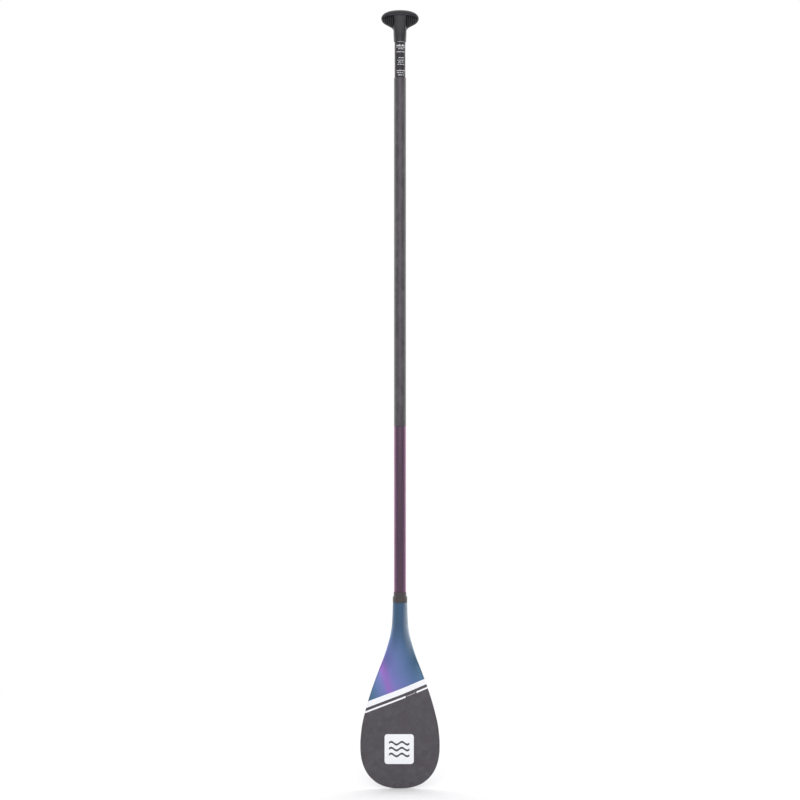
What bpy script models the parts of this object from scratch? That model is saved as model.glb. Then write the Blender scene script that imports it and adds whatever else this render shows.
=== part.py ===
"""Adjustable stand-up paddle: a blade on a lower shaft, an upper shaft, and a sliding T-grip.

Metres, +Z up along the shaft. The origin is on the shaft's axis, where the lower shaft
meets the upper one. The blade hangs below it and the grip is on top. The front is -Y,
towards which the blade leans, and the lever and the snap button are at the back, +Y.
Heights along the blade are counted up from its tip.
"""

import math

import bmesh
import bpy

MM = 0.001
GAP = 0.3 * MM
TURN_STEPS = 32

# Blade
TIP_Z = -0.880
BLADE_LENGTH = 447.4 * MM
BLADE_HALF_WIDTH = 96.9 * MM
WIDEST_HEIGHT = 103.0 * MM
TIP_SQUARENESS = 2.38
TIP_FLAT = 0.3 * MM
TIP_ROUNDING = 4.0 * MM
TIP_THICKNESS_SHARE = 0.35
EDGE_HALF_THICKNESS = 1.6 * MM
EDGE_ROUNDING = 5.0 * MM
# The rest of the outline: height, half width.
UPPER_OUTLINE = [
    (103.0 * MM, 96.9 * MM),
    (140.0 * MM, 94.2 * MM),
    (186.8 * MM, 84.0 * MM),
    (233.9 * MM, 69.5 * MM),
    (281.0 * MM, 52.1 * MM),
    (318.6 * MM, 37.4 * MM),
    (346.9 * MM, 28.7 * MM),
    (368.9 * MM, 23.2 * MM),
    (392.4 * MM, 19.7 * MM),
    (416.0 * MM, 18.4 * MM),
    (447.4 * MM, 17.54 * MM),
]
# Half thickness on the centre line: height, distance from the middle surface.
FRONT_SPINE = [
    (0.0 * MM, 1.6 * MM),
    (100.0 * MM, 4.0 * MM),
    (200.0 * MM, 6.5 * MM),
    (280.0 * MM, 11.0 * MM),
    (345.0 * MM, 17.0 * MM),
    (400.0 * MM, 17.5 * MM),
    (447.4 * MM, 17.54 * MM),
]
BACK_SPINE = [
    (0.0 * MM, 1.6 * MM),
    (240.0 * MM, 1.6 * MM),
    (280.0 * MM, 4.5 * MM),
    (345.0 * MM, 16.6 * MM),
    (400.0 * MM, 17.5 * MM),
    (447.4 * MM, 17.54 * MM),
]
# How sharply a section falls off from its spine: 0.5 is an ellipse, 1.8 a narrow ridge.
SPINE_POWER = [(0.0, 1.8), (250.0 * MM, 1.8), (351.0 * MM, 1.0), (447.4 * MM, 0.5)]
BEND_TOP = 380.0 * MM
BEND_BOTTOM = 300.0 * MM
BLADE_LEAN = math.radians(8.0)
SKIN_THICKNESS = 0.9 * MM
CORE_BOTTOM = 55.0 * MM
CORE_TOP = 346.0 * MM
CORE_EDGE_MARGIN = 12.0 * MM
TIP_ROWS = 10
UPPER_ROWS = 18
HALF_SECTION_STEPS = 18
CORE_SECTION_STEPS = 24

# Shafts
SHAFT_RADIUS = 14.5 * MM
SHAFT_BORE_RADIUS = 13.3 * MM
LOWER_SHAFT_BOTTOM_Z = TIP_Z + 352.0 * MM
UPPER_SHAFT_TOP_Z = 0.8443
COLLAR_BOTTOM_Z = TIP_Z + 447.7 * MM
FOAM_PLUG_Z = (-0.150, -0.110)
FERRULE_RADIUS = 13.0 * MM
FERRULE_BORE_RADIUS = 11.5 * MM
FERRULE_Z = (-0.085, 0.095)

# Snap button, which locks the two shafts together
BUTTON_Z = 0.030
BUTTON_RADIUS = 3.7 * MM
BUTTON_TOP_Y = 15.7 * MM
BUTTON_FLANGE_RADIUS = 5.0 * MM
BUTTON_FLANGE_Y = (9.0 * MM, 10.0 * MM)

# Sliding tube and the rubber expander that locks it
TUBE_RADIUS = 13.05 * MM
TUBE_BORE_RADIUS = 11.55 * MM
TUBE_Z = (0.4212, 0.9510)
GROOVE_HALF_WIDTH = 2.0 * MM
GROOVE_FLOOR_Y = 12.45 * MM
KEY_Z = 0.8360
KEY_RADIUS = 1.7 * MM
ROD_RADIUS = 2.5 * MM
ROD_HOLE_RADIUS = ROD_RADIUS + GAP
PLUG_FLANGE_THICKNESS = 3.0 * MM
RUBBER_LENGTH = 25.0 * MM
WASHER_THICKNESS = 3.0 * MM
NUT_THICKNESS = 5.0 * MM
NUT_RADIUS = 4.6 * MM

# Grip
STEM_BOTTOM_Z = 0.9312
STEM_BORE_RADIUS = 13.35 * MM
GRIP_TOP_Z = 1.0070
RIM_Z = 0.9865
GRIP_HALF_WIDTH = 45.6 * MM
GRIP_HALF_DEPTH = 19.0 * MM
CAP_WALL = 2.6 * MM
# Lower edge of the T: height, half width, half depth.
WING_SECTIONS = [
    (0.9540, 13.0 * MM, 10.0 * MM),
    (0.9579, 16.0 * MM, 11.0 * MM),
    (0.9611, 17.4 * MM, 11.5 * MM),
    (0.9642, 20.3 * MM, 12.0 * MM),
    (0.9673, 25.6 * MM, 12.5 * MM),
    (0.9705, 31.7 * MM, 13.2 * MM),
    (0.9736, 37.3 * MM, 14.0 * MM),
    (0.9768, 41.2 * MM, 15.0 * MM),
    (0.9799, 43.4 * MM, 16.3 * MM),
    (0.9830, 45.0 * MM, 17.7 * MM),
    (RIM_Z, 45.6 * MM, 19.0 * MM),
]
WING_SQUARENESS = 2.3
SLOT_COUNT = 6
SLOT_PITCH = 4.5 * MM
SLOT_WIDTH = 2.7 * MM
FIRST_SLOT_X = 16.6 * MM
SLOT_FLOOR_Y = 8.0 * MM
SLOT_BOTTOM_RISE = 0.34

# Cam lever
PIN_Z = 0.9660
PIN_RADIUS = 4.5 * MM
LEVER_HALF_WIDTH = 8.0 * MM
FORK_HALF_GAP = 3.2 * MM
CAM_CLOSED = 11.1 * MM
CAM_DROP = 2.4 * MM
LEVER_OPENING = math.radians(80.0)
CAM_STEP = math.radians(10.0)
CAM_PLATE_THICKNESS = 3.0 * MM
POCKET_HALF_WIDTH = 8.5 * MM
POCKET_FRONT_Y = -10.5 * MM
POCKET_Z = (0.9500, 0.9845)
# The lever from its cam round its arm and back to its hub, as (Y, Z) from the pin.
LEVER_ARM = [
    (13.0 * MM, -10.9 * MM),
    (15.2 * MM, -12.6 * MM),
    (16.2 * MM, -16.0 * MM),
    (16.2 * MM, -45.5 * MM),
    (17.0 * MM, -47.6 * MM),
    (18.6 * MM, -47.8 * MM),
    (19.7 * MM, -46.0 * MM),
    (19.7 * MM, -10.0 * MM),
    (18.5 * MM, -4.5 * MM),
    (14.5 * MM, 0.5 * MM),
    (9.0 * MM, 4.0 * MM),
]
GRIP_SCREW_Z = 0.9400

PURPLE_CARBON = (0.130, 0.060, 0.110)
BLUE_PEARL = (0.105, 0.165, 0.350)
GREY_CARBON = (0.120, 0.110, 0.120)
SATIN_BLACK = (0.045, 0.040, 0.045)
STEEL_GREY = (0.560, 0.570, 0.580)
ROD_GREY = (0.090, 0.090, 0.095)
FOAM_WHITE = (0.800, 0.780, 0.720)

PAINT = dict(roughness=0.30, metallic=0.25)
CARBON = dict(roughness=0.50, metallic=0.0)
PLASTIC = dict(roughness=0.45, metallic=0.0)
METAL = dict(roughness=0.30, metallic=1.0)
FOAM = dict(roughness=0.90, metallic=0.0)

LYING_ALONG_Y = (math.radians(-90.0), 0.0, 0.0)
LYING_ALONG_X = (0.0, math.radians(90.0), 0.0)
OUTLINE_IN_YZ = (math.radians(90.0), 0.0, math.radians(90.0))


def empty_scene():
    for obj in list(bpy.data.objects):
        bpy.data.objects.remove(obj, do_unlink=True)


def new_collection(name):
    collection = bpy.data.collections.new(name)
    bpy.context.scene.collection.children.link(collection)
    return collection


def move_to(obj, collection):
    for owner in list(obj.users_collection):
        owner.objects.unlink(obj)
    collection.objects.link(obj)


def mesh_object(name, mesh):
    obj = bpy.data.objects.new(name, mesh)
    bpy.context.scene.collection.objects.link(obj)
    return obj


def finish_part(obj, parts, colour, surface):
    """Gives a part its own material and puts it in the paddle's collection."""
    material = bpy.data.materials.new(obj.name)
    material.use_nodes = True
    shader = material.node_tree.nodes["Principled BSDF"]
    shader.inputs["Base Color"].default_value = (*colour, 1.0)
    shader.inputs["Roughness"].default_value = surface["roughness"]
    shader.inputs["Metallic"].default_value = surface["metallic"]
    obj.data.materials.clear()
    obj.data.materials.append(material)
    move_to(obj, parts)
    return obj


def cut(obj, cutter, cutters):
    """Takes the cutter's shape out of the object."""
    cutter.hide_render = True
    cutter.display_type = "WIRE"
    move_to(cutter, cutters)
    boolean = obj.modifiers.new("cut_" + cutter.name, "BOOLEAN")
    boolean.operation = "DIFFERENCE"
    boolean.solver = "EXACT"
    boolean.object = cutter


def join(obj, other, cutters):
    """Adds the other object's shape to this one."""
    cut(obj, other, cutters)
    obj.modifiers[-1].operation = "UNION"


def turned(name, profile, closed=False, steps=TURN_STEPS):
    """Turns a profile of (radius, height) about Z. It runs down the outer side; a closed one is a ring."""
    verts = [(radius, 0.0, height) for radius, height in profile]
    edges = [(i, i + 1) for i in range(len(verts) - 1)]
    if closed:
        edges.append((len(verts) - 1, 0))
    mesh = bpy.data.meshes.new(name)
    mesh.from_pydata(verts, edges, [])
    obj = mesh_object(name, mesh)
    screw = obj.modifiers.new("turn", "SCREW")
    screw.axis = "Z"
    screw.angle = math.radians(360.0)
    screw.steps = steps
    screw.render_steps = steps
    screw.use_merge_vertices = True
    screw.merge_threshold = 0.00001
    screw.use_smooth_shade = True
    return obj


def ring(name, outer, inner, bottom, top, steps=TURN_STEPS):
    profile = [(outer, top), (outer, bottom), (inner, bottom), (inner, top)]
    return turned(name, profile, closed=True, steps=steps)


def rod(name, radius, bottom, top, steps=TURN_STEPS):
    return turned(name, [(0.0, top), (radius, top), (radius, bottom), (0.0, bottom)], steps=steps)


def box(name, low, high):
    bpy.ops.mesh.primitive_cube_add(size=1.0)
    obj = bpy.context.object
    obj.name = name
    for vert in obj.data.vertices:
        vert.co = [low[i] + (vert.co[i] + 0.5) * (high[i] - low[i]) for i in range(3)]
    return obj


def plate(name, outline, half_thickness):
    """Extrudes an outline of (Y, Z) points to both sides along X."""
    curve = bpy.data.curves.new(name, "CURVE")
    curve.dimensions = "2D"
    curve.fill_mode = "BOTH"
    curve.extrude = half_thickness
    spline = curve.splines.new("POLY")
    spline.points.add(len(outline) - 1)
    for point, (y, z) in zip(spline.points, outline):
        point.co = (y, z, 0.0, 1.0)
    spline.use_cyclic_u = True
    drawn = mesh_object(name + "_outline", curve)
    bpy.context.view_layer.update()
    evaluated = drawn.evaluated_get(bpy.context.evaluated_depsgraph_get())
    mesh = bpy.data.meshes.new_from_object(evaluated)
    bpy.data.objects.remove(drawn, do_unlink=True)
    solid = bmesh.new()
    solid.from_mesh(mesh)
    bmesh.ops.remove_doubles(solid, verts=solid.verts, dist=0.00001)
    bmesh.ops.recalc_face_normals(solid, faces=solid.faces)
    solid.to_mesh(mesh)
    solid.free()
    obj = mesh_object(name, mesh)
    obj.rotation_euler = OUTLINE_IN_YZ
    return obj


def loft(name, sections):
    """Closes a stack of outlines, each with the same number of points, into one solid."""
    solid = bmesh.new()
    rows = [[solid.verts.new(point) for point in section] for section in sections]
    count = len(rows[0])
    for lower, upper in zip(rows, rows[1:]):
        for i in range(count):
            after = (i + 1) % count
            solid.faces.new((lower[i], lower[after], upper[after], upper[i]))
    solid.faces.new(rows[0])
    solid.faces.new(rows[-1])
    bmesh.ops.triangulate(solid, faces=solid.faces)
    bmesh.ops.recalc_face_normals(solid, faces=solid.faces)
    mesh = bpy.data.meshes.new(name)
    solid.to_mesh(mesh)
    solid.free()
    mesh.shade_smooth()
    return mesh_object(name, mesh)


def along(points, x):
    """Reads a smooth curve through (x, value) points, flat at its first point."""
    x = min(max(x, points[0][0]), points[-1][0])
    steps = list(zip(points, points[1:]))
    rises = [(b[1] - a[1]) / (b[0] - a[0]) for a, b in steps]
    slopes = [0.0]
    for before, after in zip(rises, rises[1:]):
        slopes.append(0.0 if before * after <= 0.0 else 2.0 * before * after / (before + after))
    slopes.append(rises[-1])
    index = next(i for i, (a, b) in enumerate(steps) if x <= b[0])
    (x0, y0), (x1, y1) = steps[index]
    span = x1 - x0
    t = (x - x0) / span
    start = y0 * (1 + 2 * t) * (1 - t) ** 2 + y1 * t * t * (3 - 2 * t)
    bend = slopes[index] * t * (1 - t) ** 2 - slopes[index + 1] * t * t * (1 - t)
    return start + span * bend


def blade_half_width(height):
    if height >= WIDEST_HEIGHT:
        return along(UPPER_OUTLINE, height)
    drop = (WIDEST_HEIGHT - height) / (WIDEST_HEIGHT + TIP_FLAT)
    return BLADE_HALF_WIDTH * (1.0 - drop**TIP_SQUARENESS) ** (1.0 / TIP_SQUARENESS)


def blade_middle_y(height):
    """Where the blade's middle surface is: on the shaft's axis, then leaning forward."""
    bend = BEND_TOP - BEND_BOTTOM
    if height > BEND_TOP:
        return 0.0
    if height > BEND_BOTTOM:
        return -math.tan(BLADE_LEAN) / (2.0 * bend) * (BEND_TOP - height) ** 2
    return -math.tan(BLADE_LEAN) * (bend / 2.0 + BEND_BOTTOM - height)


def blade_half_thickness(spine, height, across):
    """Distance from the middle surface to the front or back, at a share of the half width."""
    width = blade_half_width(height)
    neck = min(max((height - 330.0 * MM) / (70.0 * MM), 0.0), 1.0)
    flat_share = max(1.0 - EDGE_ROUNDING / width, 0.0) * (1.0 - neck)
    across = min(abs(across), 1.0)
    edge = 1.0
    if across > flat_share:
        edge = math.sqrt(1.0 - ((across - flat_share) / (1.0 - flat_share)) ** 2)
    ridge = (1.0 - across * across) ** along(SPINE_POWER, height)
    thickness = EDGE_HALF_THICKNESS * edge + (along(spine, height) - EDGE_HALF_THICKNESS) * ridge
    if height < TIP_ROUNDING:
        rounding = math.sqrt(1.0 - (1.0 - height / TIP_ROUNDING) ** 2)
        thickness *= TIP_THICKNESS_SHARE + (1.0 - TIP_THICKNESS_SHARE) * rounding
    return thickness


def blade_heights():
    """Section heights, close together where the tip is round."""
    quarter = math.pi / 2.0
    heights = [WIDEST_HEIGHT * (1.0 - math.cos(quarter * i / TIP_ROWS)) for i in range(TIP_ROWS)]
    rise = BLADE_LENGTH - WIDEST_HEIGHT
    heights += [WIDEST_HEIGHT + rise * i / UPPER_ROWS for i in range(UPPER_ROWS + 1)]
    return heights


def skin_solid(name, spine, side):
    """The front (side -1) or back (side 1) half of the blade, up to the middle surface."""
    sections = []
    for height in blade_heights():
        section = []
        for i in range(HALF_SECTION_STEPS + 1):
            across = math.cos(math.pi * i / HALF_SECTION_STEPS)
            at_rim = i in (0, HALF_SECTION_STEPS)
            depth = max(blade_half_thickness(spine, height, across), GAP / 2.0 if at_rim else GAP)
            x = blade_half_width(height) * across
            section.append((x, blade_middle_y(height) + side * depth, TIP_Z + height))
        sections.append(section)
    return loft(name, sections)


def core_solid(name, grow):
    """The foam between the skins, or with grow the room that it needs."""
    bottom = CORE_BOTTOM - grow
    top = CORE_TOP + grow
    heights = [bottom] + [h for h in blade_heights() if bottom + 4 * MM < h < top - 4 * MM] + [top]
    sections = []
    for height in heights:
        width = blade_half_width(height)
        core_width = width - CORE_EDGE_MARGIN + grow
        section = []
        for i in range(CORE_SECTION_STEPS):
            angle = 2.0 * math.pi * i / CORE_SECTION_STEPS
            x = core_width * math.cos(angle)
            spine, side = (FRONT_SPINE, -1.0) if math.sin(angle) > 0.0 else (BACK_SPINE, 1.0)
            depth = blade_half_thickness(spine, height, x / width) - SKIN_THICKNESS + grow
            depth *= math.sqrt(1.0 - math.cos(angle) ** 10)
            section.append((x, blade_middle_y(height) + side * depth, TIP_Z + height))
        sections.append(section)
    return loft(name, sections)


def make_blade(parts, cutters):
    core_room = core_solid("core_room", GAP)
    neck_bore = rod("neck_bore", SHAFT_RADIUS + GAP, LOWER_SHAFT_BOTTOM_Z - GAP, COLLAR_BOTTOM_Z + 0.01)
    halves = (("blade_front_skin", FRONT_SPINE, -1.0), ("blade_back_skin", BACK_SPINE, 1.0))
    for name, spine, side in halves:
        skin = skin_solid(name, spine, side)
        cut(skin, core_room, cutters)
        cut(skin, neck_bore, cutters)
        finish_part(skin, parts, BLUE_PEARL, PAINT)
    finish_part(core_solid("blade_foam_core", 0.0), parts, FOAM_WHITE, FOAM)


def make_neck_collar(parts):
    """A stepped sleeve over the joint of neck and shaft: height above its foot, radius."""
    outline = [(0.0, 17.6), (12.2, 17.8), (15.3, 15.5), (24.9, 15.4)]
    profile = [(radius * MM, COLLAR_BOTTOM_Z + height * MM) for height, radius in reversed(outline)]
    bore = SHAFT_RADIUS + GAP
    profile += [(bore, profile[-1][1]), (bore, profile[0][1])]
    finish_part(turned("neck_collar", profile, closed=True), parts, SATIN_BLACK, PLASTIC)


def make_lower_shaft(parts):
    shaft = ring("lower_shaft", SHAFT_RADIUS, SHAFT_BORE_RADIUS, LOWER_SHAFT_BOTTOM_Z, -GAP / 2.0)
    finish_part(shaft, parts, PURPLE_CARBON, PAINT)
    plug = rod("lower_shaft_foam_plug", SHAFT_BORE_RADIUS - GAP, *FOAM_PLUG_Z)
    finish_part(plug, parts, FOAM_WHITE, FOAM)


def make_upper_shaft(parts, cutters):
    shaft = ring("upper_shaft", SHAFT_RADIUS, SHAFT_BORE_RADIUS, GAP / 2.0, UPPER_SHAFT_TOP_Z)
    for name, radius, height in (
        ("upper_button_hole", BUTTON_RADIUS + GAP, BUTTON_Z),
        ("key_hole", KEY_RADIUS + GAP, KEY_Z),
    ):
        hole = rod(name, radius, 5.0 * MM, 20.0 * MM, steps=20)
        hole.rotation_euler = LYING_ALONG_Y
        hole.location.z = height
        cut(shaft, hole, cutters)
    finish_part(shaft, parts, GREY_CARBON, CARBON)


def make_anti_twist_key(parts):
    """A rivet through the upper shaft whose end runs in the sliding tube's groove."""
    head_bottom = SHAFT_RADIUS + GAP
    profile = [
        (0.0, head_bottom + 0.7 * MM),
        (1.8 * MM, head_bottom + 0.6 * MM),
        (2.8 * MM, head_bottom + 0.2 * MM),
        (2.8 * MM, head_bottom),
        (KEY_RADIUS, head_bottom),
        (KEY_RADIUS, GROOVE_FLOOR_Y + GAP),
        (0.0, GROOVE_FLOOR_Y + GAP),
    ]
    key = turned("anti_twist_key", profile, steps=20)
    key.rotation_euler = LYING_ALONG_Y
    key.location.z = KEY_Z
    finish_part(key, parts, STEEL_GREY, METAL)


def make_ferrule(parts, cutters):
    """The tube inside both shafts at their joint, with the snap button's hole."""
    ferrule = ring("ferrule", FERRULE_RADIUS, FERRULE_BORE_RADIUS, *FERRULE_Z)
    hole = rod("ferrule_button_hole", BUTTON_RADIUS + 0.5 * MM, 5.0 * MM, 20.0 * MM, steps=20)
    hole.rotation_euler = LYING_ALONG_Y
    hole.location.z = BUTTON_Z
    cut(ferrule, hole, cutters)
    finish_part(ferrule, parts, SATIN_BLACK, CARBON)


def make_snap_button(parts):
    flange_bottom, flange_top = BUTTON_FLANGE_Y
    profile = [
        (0.0, BUTTON_TOP_Y),
        (2.2 * MM, BUTTON_TOP_Y - 0.1 * MM),
        (3.3 * MM, BUTTON_TOP_Y - 0.6 * MM),
        (BUTTON_RADIUS, BUTTON_TOP_Y - 1.5 * MM),
        (BUTTON_RADIUS, flange_top),
        (BUTTON_FLANGE_RADIUS, flange_top),
        (BUTTON_FLANGE_RADIUS, flange_bottom),
        (0.0, flange_bottom),
    ]
    button = turned("snap_button", profile, steps=24)
    button.rotation_euler = LYING_ALONG_Y
    button.location.z = BUTTON_Z
    finish_part(button, parts, STEEL_GREY, METAL)


def make_button_spring(parts):
    """A bent leaf: one leg behind the button, the other against the ferrule's front wall."""
    leaf = 0.5 * MM
    button_leg_y = BUTTON_FLANGE_Y[0] - GAP
    wall_leg_y = -FERRULE_BORE_RADIUS + 0.6 * MM
    top_z = BUTTON_Z + 6.0 * MM
    bend_z = BUTTON_Z - 45.0 * MM
    outline = [
        (button_leg_y, top_z),
        (button_leg_y - leaf, top_z),
        (button_leg_y - leaf, BUTTON_Z - 6.0 * MM),
        (leaf, bend_z + 2.0 * MM),
        (-leaf, bend_z + 2.0 * MM),
        (wall_leg_y + leaf, top_z),
        (wall_leg_y, top_z),
        (-2.0 * leaf, bend_z),
        (2.0 * leaf, bend_z),
        (button_leg_y, BUTTON_Z - 7.0 * MM),
    ]
    finish_part(plate("button_spring", outline, 2.5 * MM), parts, STEEL_GREY, METAL)


def make_adjust_tube(parts, cutters):
    tube = ring("adjust_tube", TUBE_RADIUS, TUBE_BORE_RADIUS, *TUBE_Z)
    groove = box(
        "groove",
        (-GROOVE_HALF_WIDTH, GROOVE_FLOOR_Y, TUBE_Z[0] - 0.01),
        (GROOVE_HALF_WIDTH, 2.0 * TUBE_RADIUS, STEM_BOTTOM_Z - 2.0 * MM),
    )
    cut(tube, groove, cutters)
    hole = rod("tube_screw_hole", 1.8 * MM, 5.0 * MM, 20.0 * MM, steps=16)
    hole.rotation_euler = LYING_ALONG_Y
    hole.location.z = GRIP_SCREW_Z
    cut(tube, hole, cutters)
    finish_part(tube, parts, SATIN_BLACK, CARBON)


def make_expander(parts):
    """Below the tube's end, from the top: end plug, rubber, washer and nut, all on the draw rod."""
    plug_top = TUBE_Z[0] - GAP
    spigot_radius = TUBE_BORE_RADIUS - GAP
    flange_radius = SHAFT_BORE_RADIUS - GAP
    plug_bottom = plug_top - PLUG_FLANGE_THICKNESS
    plug_profile = [
        (spigot_radius, TUBE_Z[0] + 20.0 * MM),
        (spigot_radius, plug_top),
        (flange_radius, plug_top),
        (flange_radius, plug_bottom),
        (ROD_HOLE_RADIUS, plug_bottom),
        (ROD_HOLE_RADIUS, TUBE_Z[0] + 20.0 * MM),
    ]
    finish_part(turned("tube_end_plug", plug_profile, closed=True), parts, SATIN_BLACK, PLASTIC)

    rubber_top = plug_bottom - GAP
    rubber_bottom = rubber_top - RUBBER_LENGTH
    bulge = 0.5 * MM
    rubber_profile = [
        (flange_radius - bulge * (2.0 * t - 1.0) ** 2, rubber_top - RUBBER_LENGTH * t)
        for t in [i / 6.0 for i in range(7)]
    ]
    rubber_profile += [(ROD_HOLE_RADIUS, rubber_bottom), (ROD_HOLE_RADIUS, rubber_top)]
    rubber = turned("expander_rubber", rubber_profile, closed=True)
    finish_part(rubber, parts, SATIN_BLACK, FOAM)

    washer_top = rubber_bottom - GAP
    washer_bottom = washer_top - WASHER_THICKNESS
    washer_radius = flange_radius - bulge
    washer = ring("expander_washer", washer_radius, ROD_HOLE_RADIUS, washer_bottom, washer_top)
    finish_part(washer, parts, STEEL_GREY, METAL)

    nut_top = washer_bottom - GAP
    nut_bottom = nut_top - NUT_THICKNESS
    hexagon_hole = ROD_HOLE_RADIUS / math.cos(math.radians(30.0))
    nut = ring("expander_nut", NUT_RADIUS, hexagon_hole, nut_bottom, nut_top, steps=6)
    finish_part(nut, parts, STEEL_GREY, METAL)

    draw_rod = rod("draw_rod", ROD_RADIUS, nut_bottom - 2.0 * MM, PIN_Z + 2.0 * MM, steps=16)
    finish_part(draw_rod, parts, ROD_GREY, CARBON)


def make_lever_pin(parts, cutters):
    """The cross pin that the lever turns on and that the draw rod screws into."""
    pin = rod("lever_pin", PIN_RADIUS, -LEVER_HALF_WIDTH, LEVER_HALF_WIDTH, steps=28)
    pin.rotation_euler = LYING_ALONG_X
    pin.location.z = PIN_Z
    thread = rod("pin_thread", ROD_HOLE_RADIUS, PIN_Z - 2.0 * PIN_RADIUS, PIN_Z + 2.0 * PIN_RADIUS, steps=16)
    cut(pin, thread, cutters)
    finish_part(pin, parts, STEEL_GREY, METAL)


def cam_outline():
    """From the lowest contact round the front to the hub's top, as (Y, Z) from the pin.

    Turning the lever by an angle brings that angle of the cam down on its plate, and the
    distance from pin to plate shrinks in proportion, by CAM_DROP over the whole opening.
    """
    fall = CAM_DROP / LEVER_OPENING
    points = []
    for step in range(20, -2, -1):
        angle = step * CAM_STEP
        reach = CAM_CLOSED - fall * min(angle, LEVER_OPENING)
        slope = -fall if angle <= LEVER_OPENING else 0.0
        y = -reach * math.sin(angle) - slope * math.cos(angle)
        z = -reach * math.cos(angle) + slope * math.sin(angle)
        points.append((y, z))
    return points


def make_lever(parts, cutters):
    lever = plate("lever", cam_outline() + LEVER_ARM, LEVER_HALF_WIDTH)
    lever.location.z = PIN_Z
    side = 15.0 * MM
    fork_gap = box(
        "fork_gap",
        (-FORK_HALF_GAP, -side, PIN_Z - side),
        (FORK_HALF_GAP, 2.0 * PIN_RADIUS, PIN_Z + side),
    )
    cut(lever, fork_gap, cutters)
    pin_room = rod("pin_room", PIN_RADIUS + GAP, -side, side, steps=28)
    pin_room.rotation_euler = LYING_ALONG_X
    pin_room.location.z = PIN_Z
    cut(lever, pin_room, cutters)
    finish_part(lever, parts, SATIN_BLACK, PLASTIC)


def make_cam_plate(parts):
    bottom = TUBE_Z[1] + GAP
    radius = STEM_BORE_RADIUS - 0.4 * MM
    disc = ring("cam_plate", radius, ROD_HOLE_RADIUS, bottom, bottom + CAM_PLATE_THICKNESS)
    finish_part(disc, parts, STEEL_GREY, METAL)


def wing_solid(name):
    sections = []
    steps = 40
    for height, half_width, half_depth in WING_SECTIONS:
        section = []
        for i in range(steps):
            angle = 2.0 * math.pi * i / steps
            c, s = math.cos(angle), math.sin(angle)
            x = half_width * math.copysign(abs(c) ** (2.0 / WING_SQUARENESS), c)
            y = half_depth * math.copysign(abs(s) ** (2.0 / WING_SQUARENESS), s)
            section.append((x, y, height))
        sections.append(section)
    return loft(name, sections)


def make_grip_slots(grip, cutters):
    """Finger ribs: upright slots in both wings, front and back."""
    for i in range(SLOT_COUNT):
        x = FIRST_SLOT_X + i * SLOT_PITCH
        bottom = 0.9655 + SLOT_BOTTOM_RISE * i * SLOT_PITCH
        for side in (-1.0, 1.0):
            for face in (-1.0, 1.0):
                near, far = sorted((face * SLOT_FLOOR_Y, face * 2.0 * GRIP_HALF_DEPTH))
                left, right = sorted((side * (x - SLOT_WIDTH / 2.0), side * (x + SLOT_WIDTH / 2.0)))
                name = f"slot_{i}_{int(side > 0)}{int(face > 0)}"
                cut(grip, box(name, (left, near, bottom), (right, far, 0.9835)), cutters)


def make_grip_frame(parts, cutters):
    """Stem and ribbed wings in one moulding, with a pocket for the lever at the back."""
    stem_profile = [
        (0.0, RIM_Z - 0.2 * MM),
        (16.2 * MM, RIM_Z - 0.2 * MM),
        (15.7 * MM, 0.9485),
        (15.0 * MM, 0.9359),
        (14.8 * MM, 0.9322),
        (14.4 * MM, STEM_BOTTOM_Z),
        (0.0, STEM_BOTTOM_Z),
    ]
    frame = wing_solid("grip_frame")
    join(frame, turned("stem", stem_profile), cutters)
    bore = rod("stem_bore", STEM_BORE_RADIUS, STEM_BOTTOM_Z - 0.01, TUBE_Z[1] + 4.0 * MM)
    cut(frame, bore, cutters)
    pocket = box(
        "lever_pocket",
        (-POCKET_HALF_WIDTH, POCKET_FRONT_Y, POCKET_Z[0]),
        (POCKET_HALF_WIDTH, 2.0 * GRIP_HALF_DEPTH, POCKET_Z[1]),
    )
    cut(frame, pocket, cutters)
    make_grip_slots(frame, cutters)
    for name, radius, near in (("screw_seat", 3.1 * MM, 13.9 * MM), ("screw_way", 1.8 * MM, 5.0 * MM)):
        hole = rod(name, radius, near, 20.0 * MM, steps=16)
        hole.rotation_euler = LYING_ALONG_Y
        hole.location.z = GRIP_SCREW_Z
        cut(frame, hole, cutters)
    finish_part(frame, parts, SATIN_BLACK, PLASTIC)


def ellipsoid(name, radii, centre_z):
    bpy.ops.mesh.primitive_uv_sphere_add(segments=32, ring_count=16, radius=1.0)
    obj = bpy.context.object
    obj.name = name
    for vert in obj.data.vertices:
        vert.co = [vert.co[i] * radii[i] for i in range(3)]
        vert.co.z += centre_z
    return obj


def make_grip_cap(parts, cutters):
    """The palm rest: the upper half of an ellipsoid, hollow and open below."""
    bottom = RIM_Z + GAP
    radii = (GRIP_HALF_WIDTH, GRIP_HALF_DEPTH, GRIP_TOP_Z - bottom)
    cap = ellipsoid("grip_cap", radii, bottom)
    cap.data.shade_smooth()
    below = box("below_rim", (-0.1, -0.1, bottom - 0.05), (0.1, 0.1, bottom))
    cut(cap, below, cutters)
    inside = ellipsoid("cap_inside", [radius - CAP_WALL for radius in radii], bottom - 0.1 * MM)
    cut(cap, inside, cutters)
    finish_part(cap, parts, SATIN_BLACK, PLASTIC)


def make_grip_screw(parts):
    """Holds the stem on the tube, behind the lever."""
    profile = [
        (0.0, 15.2 * MM),
        (2.8 * MM, 15.1 * MM),
        (2.8 * MM, 14.2 * MM),
        (1.5 * MM, 14.2 * MM),
        (1.5 * MM, 10.5 * MM),
        (0.0, 10.2 * MM),
    ]
    screw = turned("grip_screw", profile, steps=16)
    screw.rotation_euler = LYING_ALONG_Y
    screw.location.z = GRIP_SCREW_Z
    finish_part(screw, parts, STEEL_GREY, METAL)


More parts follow.
